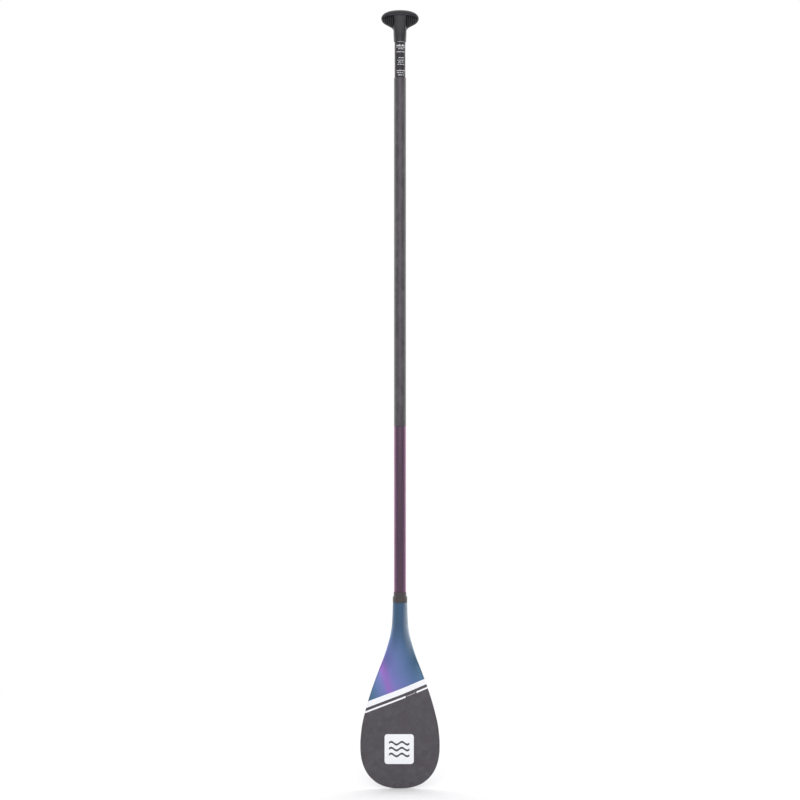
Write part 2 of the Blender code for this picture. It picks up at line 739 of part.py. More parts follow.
def main():
    empty_scene()
    parts = new_collection("stand_up_paddle")
    cutters = new_collection("cutters")
    make_blade(parts, cutters)
    make_neck_collar(parts)
    make_lower_shaft(parts)
    make_upper_shaft(parts, cutters)
    make_anti_twist_key(parts)
    make_ferrule(parts, cutters)
    make_snap_button(parts)
    make_button_spring(parts)
    make_adjust_tube(parts, cutters)
    make_expander(parts)
    make_lever_pin(parts, cutters)
    make_lever(parts, cutters)
    make_cam_plate(parts)
    make_grip_frame(parts, cutters)
    make_grip_cap(parts, cutters)
    make_grip_screw(parts)


main()
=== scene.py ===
"""Looks of the adjustable stand-up paddle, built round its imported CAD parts.

Metres, +Z up along the shaft, -Y the front. Heights along the blade count up from its tip.
Every piece is drawn where the CAD has it, so its object stays at the origin.
"""

import math
import random

import bmesh
import bpy
from mathutils import Matrix, Vector


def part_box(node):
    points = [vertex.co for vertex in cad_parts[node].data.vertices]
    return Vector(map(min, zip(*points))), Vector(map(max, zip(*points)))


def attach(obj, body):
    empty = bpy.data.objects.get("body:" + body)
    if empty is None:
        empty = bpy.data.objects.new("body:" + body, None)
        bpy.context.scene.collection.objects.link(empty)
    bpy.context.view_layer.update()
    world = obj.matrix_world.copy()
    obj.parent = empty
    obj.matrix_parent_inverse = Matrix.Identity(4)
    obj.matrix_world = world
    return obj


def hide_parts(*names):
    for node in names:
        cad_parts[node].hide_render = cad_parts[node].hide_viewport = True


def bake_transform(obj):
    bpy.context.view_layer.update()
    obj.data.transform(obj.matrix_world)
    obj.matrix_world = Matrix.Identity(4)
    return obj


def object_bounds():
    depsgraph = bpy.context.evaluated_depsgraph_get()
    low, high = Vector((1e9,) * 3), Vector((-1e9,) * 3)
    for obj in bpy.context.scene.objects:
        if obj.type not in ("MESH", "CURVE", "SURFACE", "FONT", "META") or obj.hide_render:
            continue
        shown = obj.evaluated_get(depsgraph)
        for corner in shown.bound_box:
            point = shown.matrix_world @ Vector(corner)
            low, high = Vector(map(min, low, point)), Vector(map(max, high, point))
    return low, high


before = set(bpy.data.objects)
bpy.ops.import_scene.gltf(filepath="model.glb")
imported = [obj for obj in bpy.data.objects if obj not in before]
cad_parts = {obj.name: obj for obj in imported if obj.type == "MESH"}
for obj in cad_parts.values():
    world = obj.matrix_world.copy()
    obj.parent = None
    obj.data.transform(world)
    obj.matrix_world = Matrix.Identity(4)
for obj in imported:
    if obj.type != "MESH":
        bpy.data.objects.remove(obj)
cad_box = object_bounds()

MM = 0.001
GAP = 0.3 * MM
CREASE_ANGLE = math.radians(40.0)
MERGE_DISTANCE = 0.001 * MM
# How far a cutter runs past the surface that it cuts
OVERRUN = 10.0 * MM

# Blade outline and thickness, as in the CAD
TIP_Z = cad_box[0].z
BLADE_LENGTH = 447.4 * MM
BLADE_HALF_WIDTH = cad_box[1].x
WIDEST_HEIGHT = 103.0 * MM
TIP_SQUARENESS = 2.38
TIP_FLAT = 0.3 * MM
TIP_ROUNDING = 4.0 * MM
TIP_THICKNESS_SHARE = 0.35
EDGE_HALF_THICKNESS = 1.6 * MM
EDGE_ROUNDING = 5.0 * MM
UPPER_OUTLINE = [
    (103.0 * MM, 96.9 * MM),
    (140.0 * MM, 94.2 * MM),
    (186.8 * MM, 84.0 * MM),
    (233.9 * MM, 69.5 * MM),
    (281.0 * MM, 52.1 * MM),
    (318.6 * MM, 37.4 * MM),
    (346.9 * MM, 28.7 * MM),
    (368.9 * MM, 23.2 * MM),
    (392.4 * MM, 19.7 * MM),
    (416.0 * MM, 18.4 * MM),
    (447.4 * MM, 17.54 * MM),
]
FRONT_SPINE = [
    (0.0 * MM, 1.6 * MM),
    (100.0 * MM, 4.0 * MM),
    (200.0 * MM, 6.5 * MM),
    (280.0 * MM, 11.0 * MM),
    (345.0 * MM, 17.0 * MM),
    (400.0 * MM, 17.5 * MM),
    (447.4 * MM, 17.54 * MM),
]
BACK_SPINE = [
    (0.0 * MM, 1.6 * MM),
    (240.0 * MM, 1.6 * MM),
    (280.0 * MM, 4.5 * MM),
    (345.0 * MM, 16.6 * MM),
    (400.0 * MM, 17.5 * MM),
    (447.4 * MM, 17.54 * MM),
]
SPINE_POWER = [(0.0, 1.8), (250.0 * MM, 1.8), (351.0 * MM, 1.0), (447.4 * MM, 0.5)]
BEND_TOP = 380.0 * MM
BEND_BOTTOM = 300.0 * MM
BLADE_LEAN = math.radians(8.0)
NECK_ROUND_FROM = 330.0 * MM
NECK_ROUND_RANGE = 70.0 * MM
TIP_ROWS = 30
UPPER_ROWS = 90
SECTION_STEPS = 120

# Painted bands on the blade: heights on the centre line, rising to the right
BAND_SLOPE = 0.388
BROAD_BAND = (222.8 * MM, 237.0 * MM)
THIN_BAND = (211.3 * MM, 215.6 * MM)
THIN_BAND_GAP_X = (13.9 * MM, 40.4 * MM)
DASH_PITCH = 2.4 * MM
DASH_MARGIN_X = 2.0 * MM
DASH_MARGIN_Z = 1.3 * MM
# The violet streak in the pearl lacquer, a painted sheen where its colour shift shows under the studio
# light, and how far its colour reaches to each side
SHEEN_STREAK_SLOPE = 0.35
SHEEN_STREAK_FOOT_X = 54.0 * MM
SHEEN_STREAK_REACH_RIGHT = 100.0 * MM
SHEEN_STREAK_REACH_LEFT = 48.0 * MM
SHEEN_STREAK_SOFTNESS = 0.25
# The lacquer's display colours, from far off the streak to its middle
PEARL_SHADES = [
    (0.00, (66, 100, 126)),
    (0.30, (78, 107, 149)),
    (0.55, (96, 115, 167)),
    (0.80, (113, 116, 182)),
    (0.97, (141, 105, 187)),
]
# Where the lacquer turns to the darker blue of the neck: partly the neck's own blue, partly painted
# shade
NECK_BLUE_AND_SHADE = (322.0 * MM, 400.0 * MM)
# Painted highlight on the right rim: a paler tint, by what share, and over which part of the turn to
# the side
RIM_HIGHLIGHT_SHARE = 0.7
RIM_HIGHLIGHT_TURN = (0.30, 0.90)
# The plain panel with waves, on the front only
PANEL_CENTRE = (-2.0 * MM, 93.5 * MM)
PANEL_HALF_SIZE = 35.6 * MM
PANEL_CORNER = 7.0 * MM
WAVE_LENGTH = 26.0 * MM
WAVE_RISE = 3.2 * MM
WAVE_PITCH = 14.0 * MM
WAVE_HALF_WIDTH = 25.0 * MM
WAVE_LINE = (0.32, 0.68)

# Sleeve: height above its foot, and radius
SLEEVE_CORNERS = [
    (0.0, 17.6 * MM),
    (12.2 * MM, 17.8 * MM),
    (15.3 * MM, 15.5 * MM),
    (24.9 * MM, 15.4 * MM),
]

# Tubes
SHAFT_RADIUS = 14.5 * MM
SHAFT_BORE_RADIUS = 13.3 * MM
TUBE_BORE_RADIUS = 11.55 * MM
TUBE_STEPS = 128
BUTTON_Z = 0.030
BUTTON_HOLE_RADIUS = 4.0 * MM
KEY_Z = 0.8360
KEY_HOLE_RADIUS = 2.0 * MM
HOLE_FENCE = 5.0 * MM
GRIP_SCREW_Z = 0.9400
SCREW_HOLE_RADIUS = 1.8 * MM
SCREW_SEAT_RADIUS = 3.1 * MM
SCREW_SEAT_Y = 13.9 * MM
# A hole in a wall is cut from inside the tube to well outside it
HOLE_REACH = (5.0 * MM, 20.0 * MM)
GROOVE_HALF_WIDTH = 2.0 * MM
GROOVE_FLOOR_Y = 12.45 * MM
GROOVE_END_BELOW_STEM = 2.0 * MM

# Printed label on the sliding tube: distance below the stem, letter height, line width
LABEL_LINES = [
    (1.4 * MM, 1.4 * MM, 17.0 * MM),
    (10.6 * MM, 4.4 * MM, 23.0 * MM),
    (18.7 * MM, 2.2 * MM, 15.0 * MM),
    (26.0 * MM, 2.4 * MM, 23.0 * MM),
    (40.0 * MM, 2.6 * MM, 13.0 * MM),
    (46.0 * MM, 2.4 * MM, 18.0 * MM),
    (50.7 * MM, 2.6 * MM, 14.0 * MM),
    (56.0 * MM, 2.4 * MM, 18.0 * MM),
    (71.0 * MM, 2.6 * MM, 22.0 * MM),
    (76.0 * MM, 2.4 * MM, 19.0 * MM),
    (81.6 * MM, 2.6 * MM, 16.0 * MM),
]
UNDERLINE = (15.2 * MM, 0.8 * MM, 24.0 * MM)
UNDERLINE_PARTS = 24
WORD_LENGTHS = (3, 7)
# Shares of a line's height: letter to letter, foot of a letter, and heights of letters
LETTER_STEP = 0.50
LETTER_FOOT = 0.35
LETTER_HEIGHTS = (0.55, 0.60, 0.65, 0.90)
# Shares of a letter's step: its stroke, and the space between words
LETTER_STROKE = 0.75
WORD_SPACE = 0.8
LABEL_TURN = math.radians(12.0)
LABEL_LIFT = 0.04 * MM

# Grip. Wings and stem are given as height and half width, half depth or radius.
STEM_BOTTOM_Z = 0.9312
STEM_BORE_RADIUS = 13.35 * MM
ROOM_ABOVE_TUBE = 4.0 * MM
RIM_Z = 0.9865
GRIP_TOP_Z = cad_box[1].z
GRIP_HALF_WIDTH = 45.6 * MM
GRIP_HALF_DEPTH = 19.0 * MM
RIM_ARCH = 6.5 * MM
ARCH_BOTTOM_Z = 0.9720
CAP_WALL = 3.6 * MM
CAP_END_WALL = 0.8 * MM
WING_WIDTHS = [
    (0.9540, 13.0 * MM),
    (0.9579, 16.0 * MM),
    (0.9611, 17.4 * MM),
    (0.9642, 20.3 * MM),
    (0.9673, 25.6 * MM),
    (0.9705, 31.7 * MM),
    (0.9736, 37.3 * MM),
    (0.9768, 41.2 * MM),
    (0.9799, 43.4 * MM),
    (0.9830, 45.0 * MM),
    (RIM_Z, 45.6 * MM),
]
WING_DEPTHS = [
    (0.9540, 9.0 * MM),
    (0.9673, 11.0 * MM),
    (0.9768, 12.6 * MM),
    (0.9830, 14.4 * MM),
    (RIM_Z, 17.0 * MM),
]
STEM_RADII = [
    (STEM_BOTTOM_Z, 14.5 * MM),
    (0.9322, 14.8 * MM),
    (0.9359, 15.0 * MM),
    (0.9485, 15.7 * MM),
    (0.9650, 15.8 * MM),
    (0.9800, 16.0 * MM),
    (0.9835, 16.5 * MM),
    (0.9864, 17.6 * MM),
]
SQUARE_FROM_Z = (0.9440, 0.9720)
SQUARENESS = (2.0, 4.5)
WING_SQUARENESS = 2.3
SLOT_COUNT = 6
SLOT_PITCH = 4.5 * MM
SLOT_WIDTH = 2.7 * MM
FIRST_SLOT_X = 16.6 * MM
FIRST_SLOT_Z = 0.9655
SLOT_RISE = 0.34
SLOT_FLOOR_Y = 3.0 * MM
TONGUE_Z = (0.9350, 0.9750)
TONGUE_HALF_WIDTH = 8.5 * MM
TONGUE_RISE = 0.7 * MM
LIP_HEIGHT = 5.0 * MM
LIP_INSET = 0.7 * MM
LIP_ROWS = 10
DOME_ROWS = 24
WING_ROWS = 30
STEM_ROWS = 60
GRIP_DETAIL = 0.45 * MM

# Cam lever
PIN_Z = 0.9660
PIN_ROOM_RADIUS = 4.8 * MM
LEVER_HALF_WIDTH = 8.0 * MM
FORK_HALF_GAP = 3.2 * MM
CAM_CLOSED = 11.1 * MM
CAM_DROP = 2.4 * MM
LEVER_OPENING = math.radians(80.0)
CAM_STEP = math.radians(5.0)
LEVER_DETAIL = 0.3 * MM
FORK_REACH = 15.0 * MM
FORK_BACK_Y = 9.0 * MM
RIB_COUNT = 5
RIB_PITCH = 3.0 * MM
FIRST_RIB_DROP = 31.0 * MM
RIB_Y = 20.0 * MM
RIB_RADIUS = 1.0 * MM
RIB_HALF_LENGTH = 6.0 * MM
POCKET_HALF_WIDTH = 8.5 * MM
POCKET_FRONT_Y = -10.5 * MM
POCKET_Z = (0.9500, 0.9845)
LEVER_ARM = [
    (13.0 * MM, -10.9 * MM),
    (15.2 * MM, -12.6 * MM),
    (16.2 * MM, -16.0 * MM),
    (16.2 * MM, -45.5 * MM),
    (17.0 * MM, -47.6 * MM),
    (18.6 * MM, -47.8 * MM),
    (19.7 * MM, -46.0 * MM),
    (19.7 * MM, -10.0 * MM),
    (18.5 * MM, -4.5 * MM),
    (14.5 * MM, 0.5 * MM),
    (9.0 * MM, 4.0 * MM),
]

# Small metal. The button's head is given as radius and distance below its top.
BUTTON_HEAD = [
    (0.0, 0.0),
    (1.6 * MM, 0.05 * MM),
    (2.8 * MM, 0.35 * MM),
    (3.5 * MM, 1.1 * MM),
    (3.7 * MM, 2.2 * MM),
]
BUTTON_RADIUS = 3.7 * MM
BUTTON_FLANGE_RADIUS = 5.0 * MM
BUTTON_FLANGE_Y = 10.0 * MM
KEY_RADIUS = 1.7 * MM
SCREW_RADIUS = 1.5 * MM
SCREW_HEAD_RADIUS = 2.8 * MM
SCREW_HEAD_Y = 14.2 * MM
RECESS_RADIUS = 1.25 * MM
RECESS_DEPTH = 0.8 * MM
LEAF_THICKNESS = 0.5 * MM
LEAF_BEND_RADIUS = 6.0 * MM
LEAF_STRAIGHT_DROP = 7.0 * MM

# Studio
CAMERA_DISTANCE = 3.9
CAMERA_HEIGHT = 0.21
FRAME_MARGIN = 1.035
SENSOR_WIDTH = 36.0
FRONT_LIGHT = 0.35
BACK_LIGHT = 1.25
# The studio's light grows from front to back between these shares of the sky's Y
LIGHT_CHANGE_Y = (-0.9, 0.4)
LIGHT_TARGET = (0.0, 0.0, 0.05)
FLOOR_HALF_SIZE = 40.0
# Distance from the paddle over which the floor turns to plain white
FLOOR_FADE = (0.25, 1.6)


def colour(red, green, blue):
    """A display colour in 0 to 255 as the linear colour that shaders take."""
    channels = []
    for value in (red, green, blue):
        share = value / 255.0
        channels.append(share / 12.92 if share < 0.04045 else ((share + 0.055) / 1.055) ** 2.4)
    return (*channels, 1.0)


# ---------------------------------------------------------------- shapes


def along(points, x):
    """Reads a smooth curve through (x, value) points, flat at its first point."""
    x = min(max(x, points[0][0]), points[-1][0])
    steps = list(zip(points, points[1:]))
    rises = [(b[1] - a[1]) / (b[0] - a[0]) for a, b in steps]
    slopes = [0.0]
    for before, after in zip(rises, rises[1:]):
        slopes.append(0.0 if before * after <= 0.0 else 2.0 * before * after / (before + after))
    slopes.append(rises[-1])
    index = next(i for i, (a, b) in enumerate(steps) if x <= b[0])
    (x0, y0), (x1, y1) = steps[index]
    span = x1 - x0
    t = (x - x0) / span
    start = y0 * (1 + 2 * t) * (1 - t) ** 2 + y1 * t * t * (3 - 2 * t)
    bend = slopes[index] * t * (1 - t) ** 2 - slopes[index + 1] * t * t * (1 - t)
    return start + span * bend


def rounded(outline, radius, closed=True, steps=4):
    """Turns each corner of a flat outline into a short curve."""
    count = len(outline)
    points = []
    for i, place in enumerate(outline):
        corner = Vector(place)
        if not closed and i in (0, count - 1):
            points.append(tuple(corner))
            continue
        before = Vector(outline[i - 1]) - corner
        after = Vector(outline[(i + 1) % count]) - corner
        start = corner + before.normalized() * min(radius, before.length * 0.45)
        end = corner + after.normalized() * min(radius, after.length * 0.45)
        for step in range(steps + 1):
            t = step / steps
            points.append(tuple(start.lerp(corner, t).lerp(corner.lerp(end, t), t)))
    return points


def solid_from(name, rows, caps=True):
    """Skins a list of closed rows of points. Points of a row that meet are merged."""
    shell = bmesh.new()
    lines = [[shell.verts.new(point) for point in row] for row in rows]
    count = len(rows[0])
    for lower, upper in zip(lines, lines[1:]):
        for i in range(count):
            after = (i + 1) % count
            shell.faces.new((lower[i], lower[after], upper[after], upper[i]))
    if caps:
        shell.faces.new(lines[0])
        shell.faces.new(lines[-1])
    bmesh.ops.remove_doubles(shell, verts=shell.verts, dist=MERGE_DISTANCE)
    bmesh.ops.recalc_face_normals(shell, faces=shell.faces)
    mesh = bpy.data.meshes.new(name)
    shell.to_mesh(mesh)
    shell.free()
    mesh.shade_smooth()
    mesh.set_sharp_from_angle(angle=CREASE_ANGLE)
    obj = bpy.data.objects.new(name, mesh)
    bpy.context.scene.collection.objects.link(obj)
    return obj


def turned(name, profile, steps=TUBE_STEPS, ring=False):
    """Turns (radius, height) points about Z. A ring's profile closes on itself."""
    rows = []
    outline = profile + profile[:1] if ring else profile
    for radius, height in outline:
        angles = [2.0 * math.pi * i / steps for i in range(steps)]
        rows.append([(radius * math.cos(a), radius * math.sin(a), height) for a in angles])
    return solid_from(name, rows, caps=False)


def tube(name, outer, inner, bottom, top, hole_heights=()):
    """A tube. Each height that gets a hole is fenced by two rings, so the cut stays local."""
    fences = sorted(z + side * HOLE_FENCE for z in hole_heights for side in (-1.0, 1.0))
    ends = rounded([(outer, top), (outer, bottom), (inner, bottom), (inner, top)], 0.4 * MM)
    count = len(ends) // 4
    outside = [(outer, z) for z in reversed(fences)]
    inside = [(inner, z) for z in fences]
    outline = ends[:count] + outside + ends[count : 3 * count] + inside + ends[3 * count :]
    return turned(name, outline, ring=True)


def rod(name, radius, bottom, top, steps=48):
    return turned(name, [(0.0, top), (radius, top), (radius, bottom), (0.0, bottom)], steps)


def box(name, low, high):
    corners = [(low[0], low[1]), (high[0], low[1]), (high[0], high[1]), (low[0], high[1])]
    return solid_from(name, [[(x, y, z) for x, y in corners] for z in (low[2], high[2])])


def plate(name, outline, low_x, high_x):
    """A flat outline of (Y, Z) points, given thickness along X."""
    return solid_from(name, [[(x, y, z) for y, z in outline] for x in (low_x, high_x)])


def moved(obj, matrix):
    obj.data.transform(matrix)
    return obj


def facing_back(obj, height):
    """Lays a piece that was turned about Z along Y, at a height on the shaft."""
    turn = Matrix.Rotation(math.radians(-90.0), 4, "X")
    return moved(obj, Matrix.Translation((0.0, 0.0, height)) @ turn)


def apply_modifiers(obj):
    bpy.context.view_layer.update()
    evaluated = obj.evaluated_get(bpy.context.evaluated_depsgraph_get())
    mesh = bpy.data.meshes.new_from_object(evaluated)
    obj.modifiers.clear()
    obj.data = mesh


def combine(obj, others, operation):
    """Adds the others to the object (UNION) or takes them out of it (DIFFERENCE)."""
    for other in others:
        boolean = obj.modifiers.new("shape", "BOOLEAN")
        boolean.operation = operation
        boolean.solver = "EXACT"
        boolean.object = other
    apply_modifiers(obj)
    for other in others:
        bpy.data.objects.remove(other, do_unlink=True)


def mould(obj, detail, passes):
    """Remakes a solid as one moulding whose edges are a little round."""
    remesh = obj.modifiers.new("moulding", "REMESH")
    remesh.mode = "VOXEL"
    remesh.voxel_size = detail
    remesh.use_smooth_shade = True
    smooth = obj.modifiers.new("soft_edges", "SMOOTH")
    smooth.factor = 0.5
    smooth.iterations = passes
    apply_modifiers(obj)


def ellipse_row(half_width, half_depth, height_at, power=2.0, steps=96):
    """One closed row at a height that may change with X. Power 2 is an ellipse."""
    row = []
    for i in range(steps):
        c = math.cos(2.0 * math.pi * i / steps)
        s = math.sin(2.0 * math.pi * i / steps)
        x = half_width * math.copysign(abs(c) ** (2.0 / power), c)
        y = half_depth * math.copysign(abs(s) ** (2.0 / power), s)
        row.append((x, y, height_at(x)))
    return row


# ---------------------------------------------------------------- materials


class Finish:
    """A material with a few words for building its node tree."""

    def __init__(self, name, roughness=0.5, metallic=0.0, coat=0.0, coat_roughness=0.2):
        self.material = bpy.data.materials.new(name)
        self.material.use_nodes = True
        self.tree = self.material.node_tree
        self.shader = self.tree.nodes["Principled BSDF"]
        self.set("Roughness", roughness)
        self.set("Metallic", metallic)
        self.set("Coat Weight", coat)
        self.set("Coat Roughness", coat_roughness)
        self.place = self.node("ShaderNodeTexCoord")

    def node(self, kind, **settings):
        node = self.tree.nodes.new(kind)
        for key, value in settings.items():
            setattr(node, key, value)
        return node

    def feed(self, socket, value):
        """Links a node's output to a socket, or sets a plain value on it."""
        if isinstance(value, bpy.types.NodeSocket):
            self.tree.links.new(value, socket)
        else:
            socket.default_value = value

    def set(self, name, value):
        self.feed(self.shader.inputs[name], value)

    def math(self, operation, *values):
        node = self.node("ShaderNodeMath", operation=operation)
        for socket, value in zip(node.inputs, values):
            self.feed(socket, value)
        return node.outputs[0]

    def xyz(self, coordinate="Object"):
        split = self.node("ShaderNodeSeparateXYZ")
        self.feed(split.inputs[0], self.place.outputs[coordinate])
        return split.outputs

    def stretched(self, scale):
        """Object coordinates multiplied along each axis."""
        mapping = self.node("ShaderNodeMapping")
        self.feed(mapping.inputs["Vector"], self.place.outputs["Object"])
        self.feed(mapping.inputs["Scale"], scale)
        return mapping.outputs[0]

    def between(self, value, low, high):
        above = self.math("GREATER_THAN", value, low)
        below = self.math("LESS_THAN", value, high)
        return self.math("MULTIPLY", above, below)

    def ease(self, value, low, high):
        """0 below low, 1 above high and smooth between."""
        node = self.node("ShaderNodeMapRange", interpolation_type="SMOOTHSTEP")
        for name, number in (("Value", value), ("From Min", low), ("From Max", high)):
            self.feed(node.inputs[name], number)
        return node.outputs[0]

    def noise(self, size, detail=3.0, scale=(1.0, 1.0, 1.0), distortion=0.0):
        """Soft noise whose patches are about this size."""
        node = self.node("ShaderNodeTexNoise")
        self.feed(node.inputs["Vector"], self.stretched(scale))
        self.feed(node.inputs["Scale"], 1.0 / size)
        self.feed(node.inputs["Detail"], detail)
        self.feed(node.inputs["Distortion"], distortion)
        return node.outputs["Fac"]

    def flakes(self, size, scale=(1.0, 1.0, 1.0)):
        """A random level for each flake of about this size, with wavy borders."""
        wave = self.node("ShaderNodeTexNoise")
        self.feed(wave.inputs["Vector"], self.stretched(scale))
        self.feed(wave.inputs["Scale"], 1.5 / size)
        shift = self.node("ShaderNodeVectorMath", operation="MULTIPLY_ADD")
        self.feed(shift.inputs[0], wave.outputs["Color"])
        self.feed(shift.inputs[1], (size, size, size))
        self.feed(shift.inputs[2], self.stretched(scale))
        cells = self.node("ShaderNodeTexVoronoi", feature="SMOOTH_F1")
        self.feed(cells.inputs["Vector"], shift.outputs[0])
        self.feed(cells.inputs["Scale"], 1.0 / size)
        self.feed(cells.inputs["Smoothness"], 0.35)
        level = self.node("ShaderNodeSeparateColor")
        self.feed(level.inputs[0], cells.outputs["Color"])
        return level.outputs[0]

    def mix(self, share, first, second):
        node = self.node("ShaderNodeMix", data_type="RGBA")
        self.feed(node.inputs[0], share)
        self.feed(node.inputs[6], first)
        self.feed(node.inputs[7], second)
        return node.outputs[2]

    def blend(self, share, first, second):
        """Mixes two numbers."""
        node = self.node("ShaderNodeMix", data_type="FLOAT")
        self.feed(node.inputs[0], share)
        self.feed(node.inputs[2], first)
        self.feed(node.inputs[3], second)
        return node.outputs[0]

    def ramp(self, value, stops):
        node = self.node("ShaderNodeValToRGB")
        elements = node.color_ramp.elements
        while len(elements) < len(stops):
            elements.new(0.5)
        for element, (position, shade) in zip(elements, stops):
            element.position = position
            element.color = shade
        self.feed(node.inputs[0], value)
        return node.outputs[0]

    def bump(self, height, distance, strength=1.0):
        node = self.node("ShaderNodeBump")
        self.feed(node.inputs["Height"], height)
        self.feed(node.inputs["Distance"], distance)
        self.feed(node.inputs["Strength"], strength)
        self.set("Normal", node.outputs[0])


def mottled(finish, dark, light, scale=(1.0, 1.0, 1.0)):
    """Chopped carbon under lacquer: broad clouds and small flakes of close greys."""
    layers = (
        (finish.noise(28.0 * MM, 4.0, scale, distortion=1.2), 0.80),
        (finish.flakes(11.0 * MM, scale), 0.65),
        (finish.flakes(4.0 * MM, scale), 0.25),
    )
    level = 0.5
    for layer, weight in layers:
        level = finish.math("MULTIPLY_ADD", finish.math("SUBTRACT", layer, 0.5), weight, level)
    return finish.mix(level, dark, light), level


def pearl_colour(finish, x, height):
    """Colour-shift lacquer with painted light: a painted sheen of violet along a slanting streak, then
    blue, and teal far from it, partly painted shade towards the neck, and a painted highlight on the
    right rim.
    """
    # Painted sheen: the violet streak is placed where the lacquer's colour shift shows under the
    # studio light
    streak = finish.math("MULTIPLY_ADD", height, -SHEEN_STREAK_SLOPE, SHEEN_STREAK_FOOT_X)
    aside = finish.math("SUBTRACT", x, streak)
    right = finish.math("MULTIPLY_ADD", aside, -1.0 / SHEEN_STREAK_REACH_RIGHT, 1.0)
    left = finish.math("MULTIPLY_ADD", aside, 1.0 / SHEEN_STREAK_REACH_LEFT, 1.0)
    violet = finish.math("SMOOTH_MIN", right, left, SHEEN_STREAK_SOFTNESS)
    cloud = finish.math("SUBTRACT", finish.noise(40.0 * MM, 2.0), 0.5)
    violet = finish.math("MULTIPLY_ADD", cloud, 0.14, violet)
    shade = finish.ramp(violet, [(position, colour(*rgb)) for position, rgb in PEARL_SHADES])
    # Partly painted shade: the lacquer darkens to the neck's blue
    neck = finish.ease(height, *NECK_BLUE_AND_SHADE)
    shade = finish.mix(neck, shade, colour(56, 85, 116))
    # Painted highlight: the lacquer turns paler where the surface turns to the right
    rim = finish.ease(finish.xyz("Normal")[0], *RIM_HIGHLIGHT_TURN)
    return finish.mix(finish.math("MULTIPLY", rim, RIM_HIGHLIGHT_SHARE), shade, colour(128, 140, 152))


def panel_mask(finish, x, height):
    """A plain round-cornered panel on the front, with three waves left out of it."""
    across = finish.math("SUBTRACT", x, PANEL_CENTRE[0])
    up = finish.math("SUBTRACT", height, PANEL_CENTRE[1])
    straight = PANEL_HALF_SIZE - PANEL_CORNER
    corner = []
    for value in (across, up):
        past = finish.math("SUBTRACT", finish.math("ABSOLUTE", value), straight)
        past = finish.math("MAXIMUM", past, 0.0)
        corner.append(finish.math("MULTIPLY", past, past))
    inside = finish.math("LESS_THAN", finish.math("ADD", *corner), PANEL_CORNER**2)
    turn = finish.math("MULTIPLY", across, 2.0 * math.pi / WAVE_LENGTH)
    swell = finish.math("MULTIPLY", finish.math("SINE", turn), WAVE_RISE)
    level = finish.math("SUBTRACT", up, swell)
    row = finish.math("FRACT", finish.math("MULTIPLY_ADD", level, 1.0 / WAVE_PITCH, 0.5))
    wave = finish.between(row, *WAVE_LINE)
    wave = finish.math("MULTIPLY", wave, finish.between(level, -1.5 * WAVE_PITCH, 1.5 * WAVE_PITCH))
    wave = finish.math("MULTIPLY", wave, finish.between(across, -WAVE_HALF_WIDTH, WAVE_HALF_WIDTH))
    front = finish.math("LESS_THAN", finish.xyz("Normal")[1], 0.0)
    panel = finish.math("SUBTRACT", inside, wave)
    return finish.math("MULTIPLY", finish.math("MAXIMUM", panel, 0.0), front)


def band_mask(finish, x, slant):
    """The two white bands. The thin one has a gap, filled with short dashes."""
    broad = finish.between(slant, *BROAD_BAND)
    thin = finish.between(slant, *THIN_BAND)
    in_gap = finish.between(x, *THIN_BAND_GAP_X)
    dash = finish.math("LESS_THAN", finish.math("FRACT", finish.math("DIVIDE", x, DASH_PITCH)), 0.5)
    for value, (low, high), margin in (
        (slant, THIN_BAND, DASH_MARGIN_Z),
        (x, THIN_BAND_GAP_X, DASH_MARGIN_X),
    ):
        dash = finish.math("MULTIPLY", dash, finish.between(value, low + margin, high - margin))
    filling = finish.math("MULTIPLY", in_gap, dash)
    thin = finish.math("MULTIPLY", thin, finish.math("SUBTRACT", 1.0, in_gap))
    return finish.math("MAXIMUM", broad, finish.math("MAXIMUM", thin, filling))


def blade_finish():
    finish = Finish("blade_lacquer", coat=0.20, coat_roughness=0.25)
    x, _, z = finish.xyz()
    height = finish.math("SUBTRACT", z, TIP_Z)
    slant = finish.math("MULTIPLY_ADD", x, -BAND_SLOPE, height)
    carbon, level = mottled(finish, colour(57, 50, 57), colour(71, 67, 75))
    pearl = pearl_colour(finish, x, height)
    painted = finish.math("GREATER_THAN", slant, BROAD_BAND[1])
    white = finish.math("MAXIMUM", band_mask(finish, x, slant), panel_mask(finish, x, height))
    base = finish.mix(painted, carbon, pearl)
    finish.set("Base Color", finish.mix(white, base, colour(240, 241, 245)))
    finish.set("Metallic", finish.math("MULTIPLY", painted, 0.55))
    rough = finish.blend(painted, finish.math("MULTIPLY_ADD", level, 0.10, 0.40), 0.34)
    finish.set("Roughness", finish.blend(white, rough, 0.38))
    grain = finish.math("MULTIPLY", finish.noise(1.6 * MM, 2.0), finish.blend(painted, 1.0, 0.3))
    print_edge = finish.math("MULTIPLY_ADD", white, 0.4, grain)
    finish.bump(finish.math("MULTIPLY_ADD", level, 0.5, print_edge), 0.05 * MM)
    return finish.material


def purple_finish():
    """Purple pearl lacquer over a wound carbon tube."""
    finish = Finish("purple_lacquer", metallic=0.30, coat=0.10, coat_roughness=0.30)
    fibre = finish.noise(3.0 * MM, 3.0, (1.0, 1.0, 0.06))
    cloud = finish.noise(45.0 * MM, 3.0, (1.0, 1.0, 0.4))
    level = finish.math("MULTIPLY_ADD", finish.math("SUBTRACT", fibre, 0.5), 0.5, cloud)
    finish.set("Base Color", finish.mix(level, colour(52, 37, 52), colour(74, 48, 70)))
    finish.set("Roughness", finish.math("MULTIPLY_ADD", fibre, 0.12, 0.34))
    finish.set("Sheen Weight", 0.9)
    finish.set("Sheen Tint", colour(236, 150, 214))
    finish.bump(fibre, 0.04 * MM)
    return finish.material


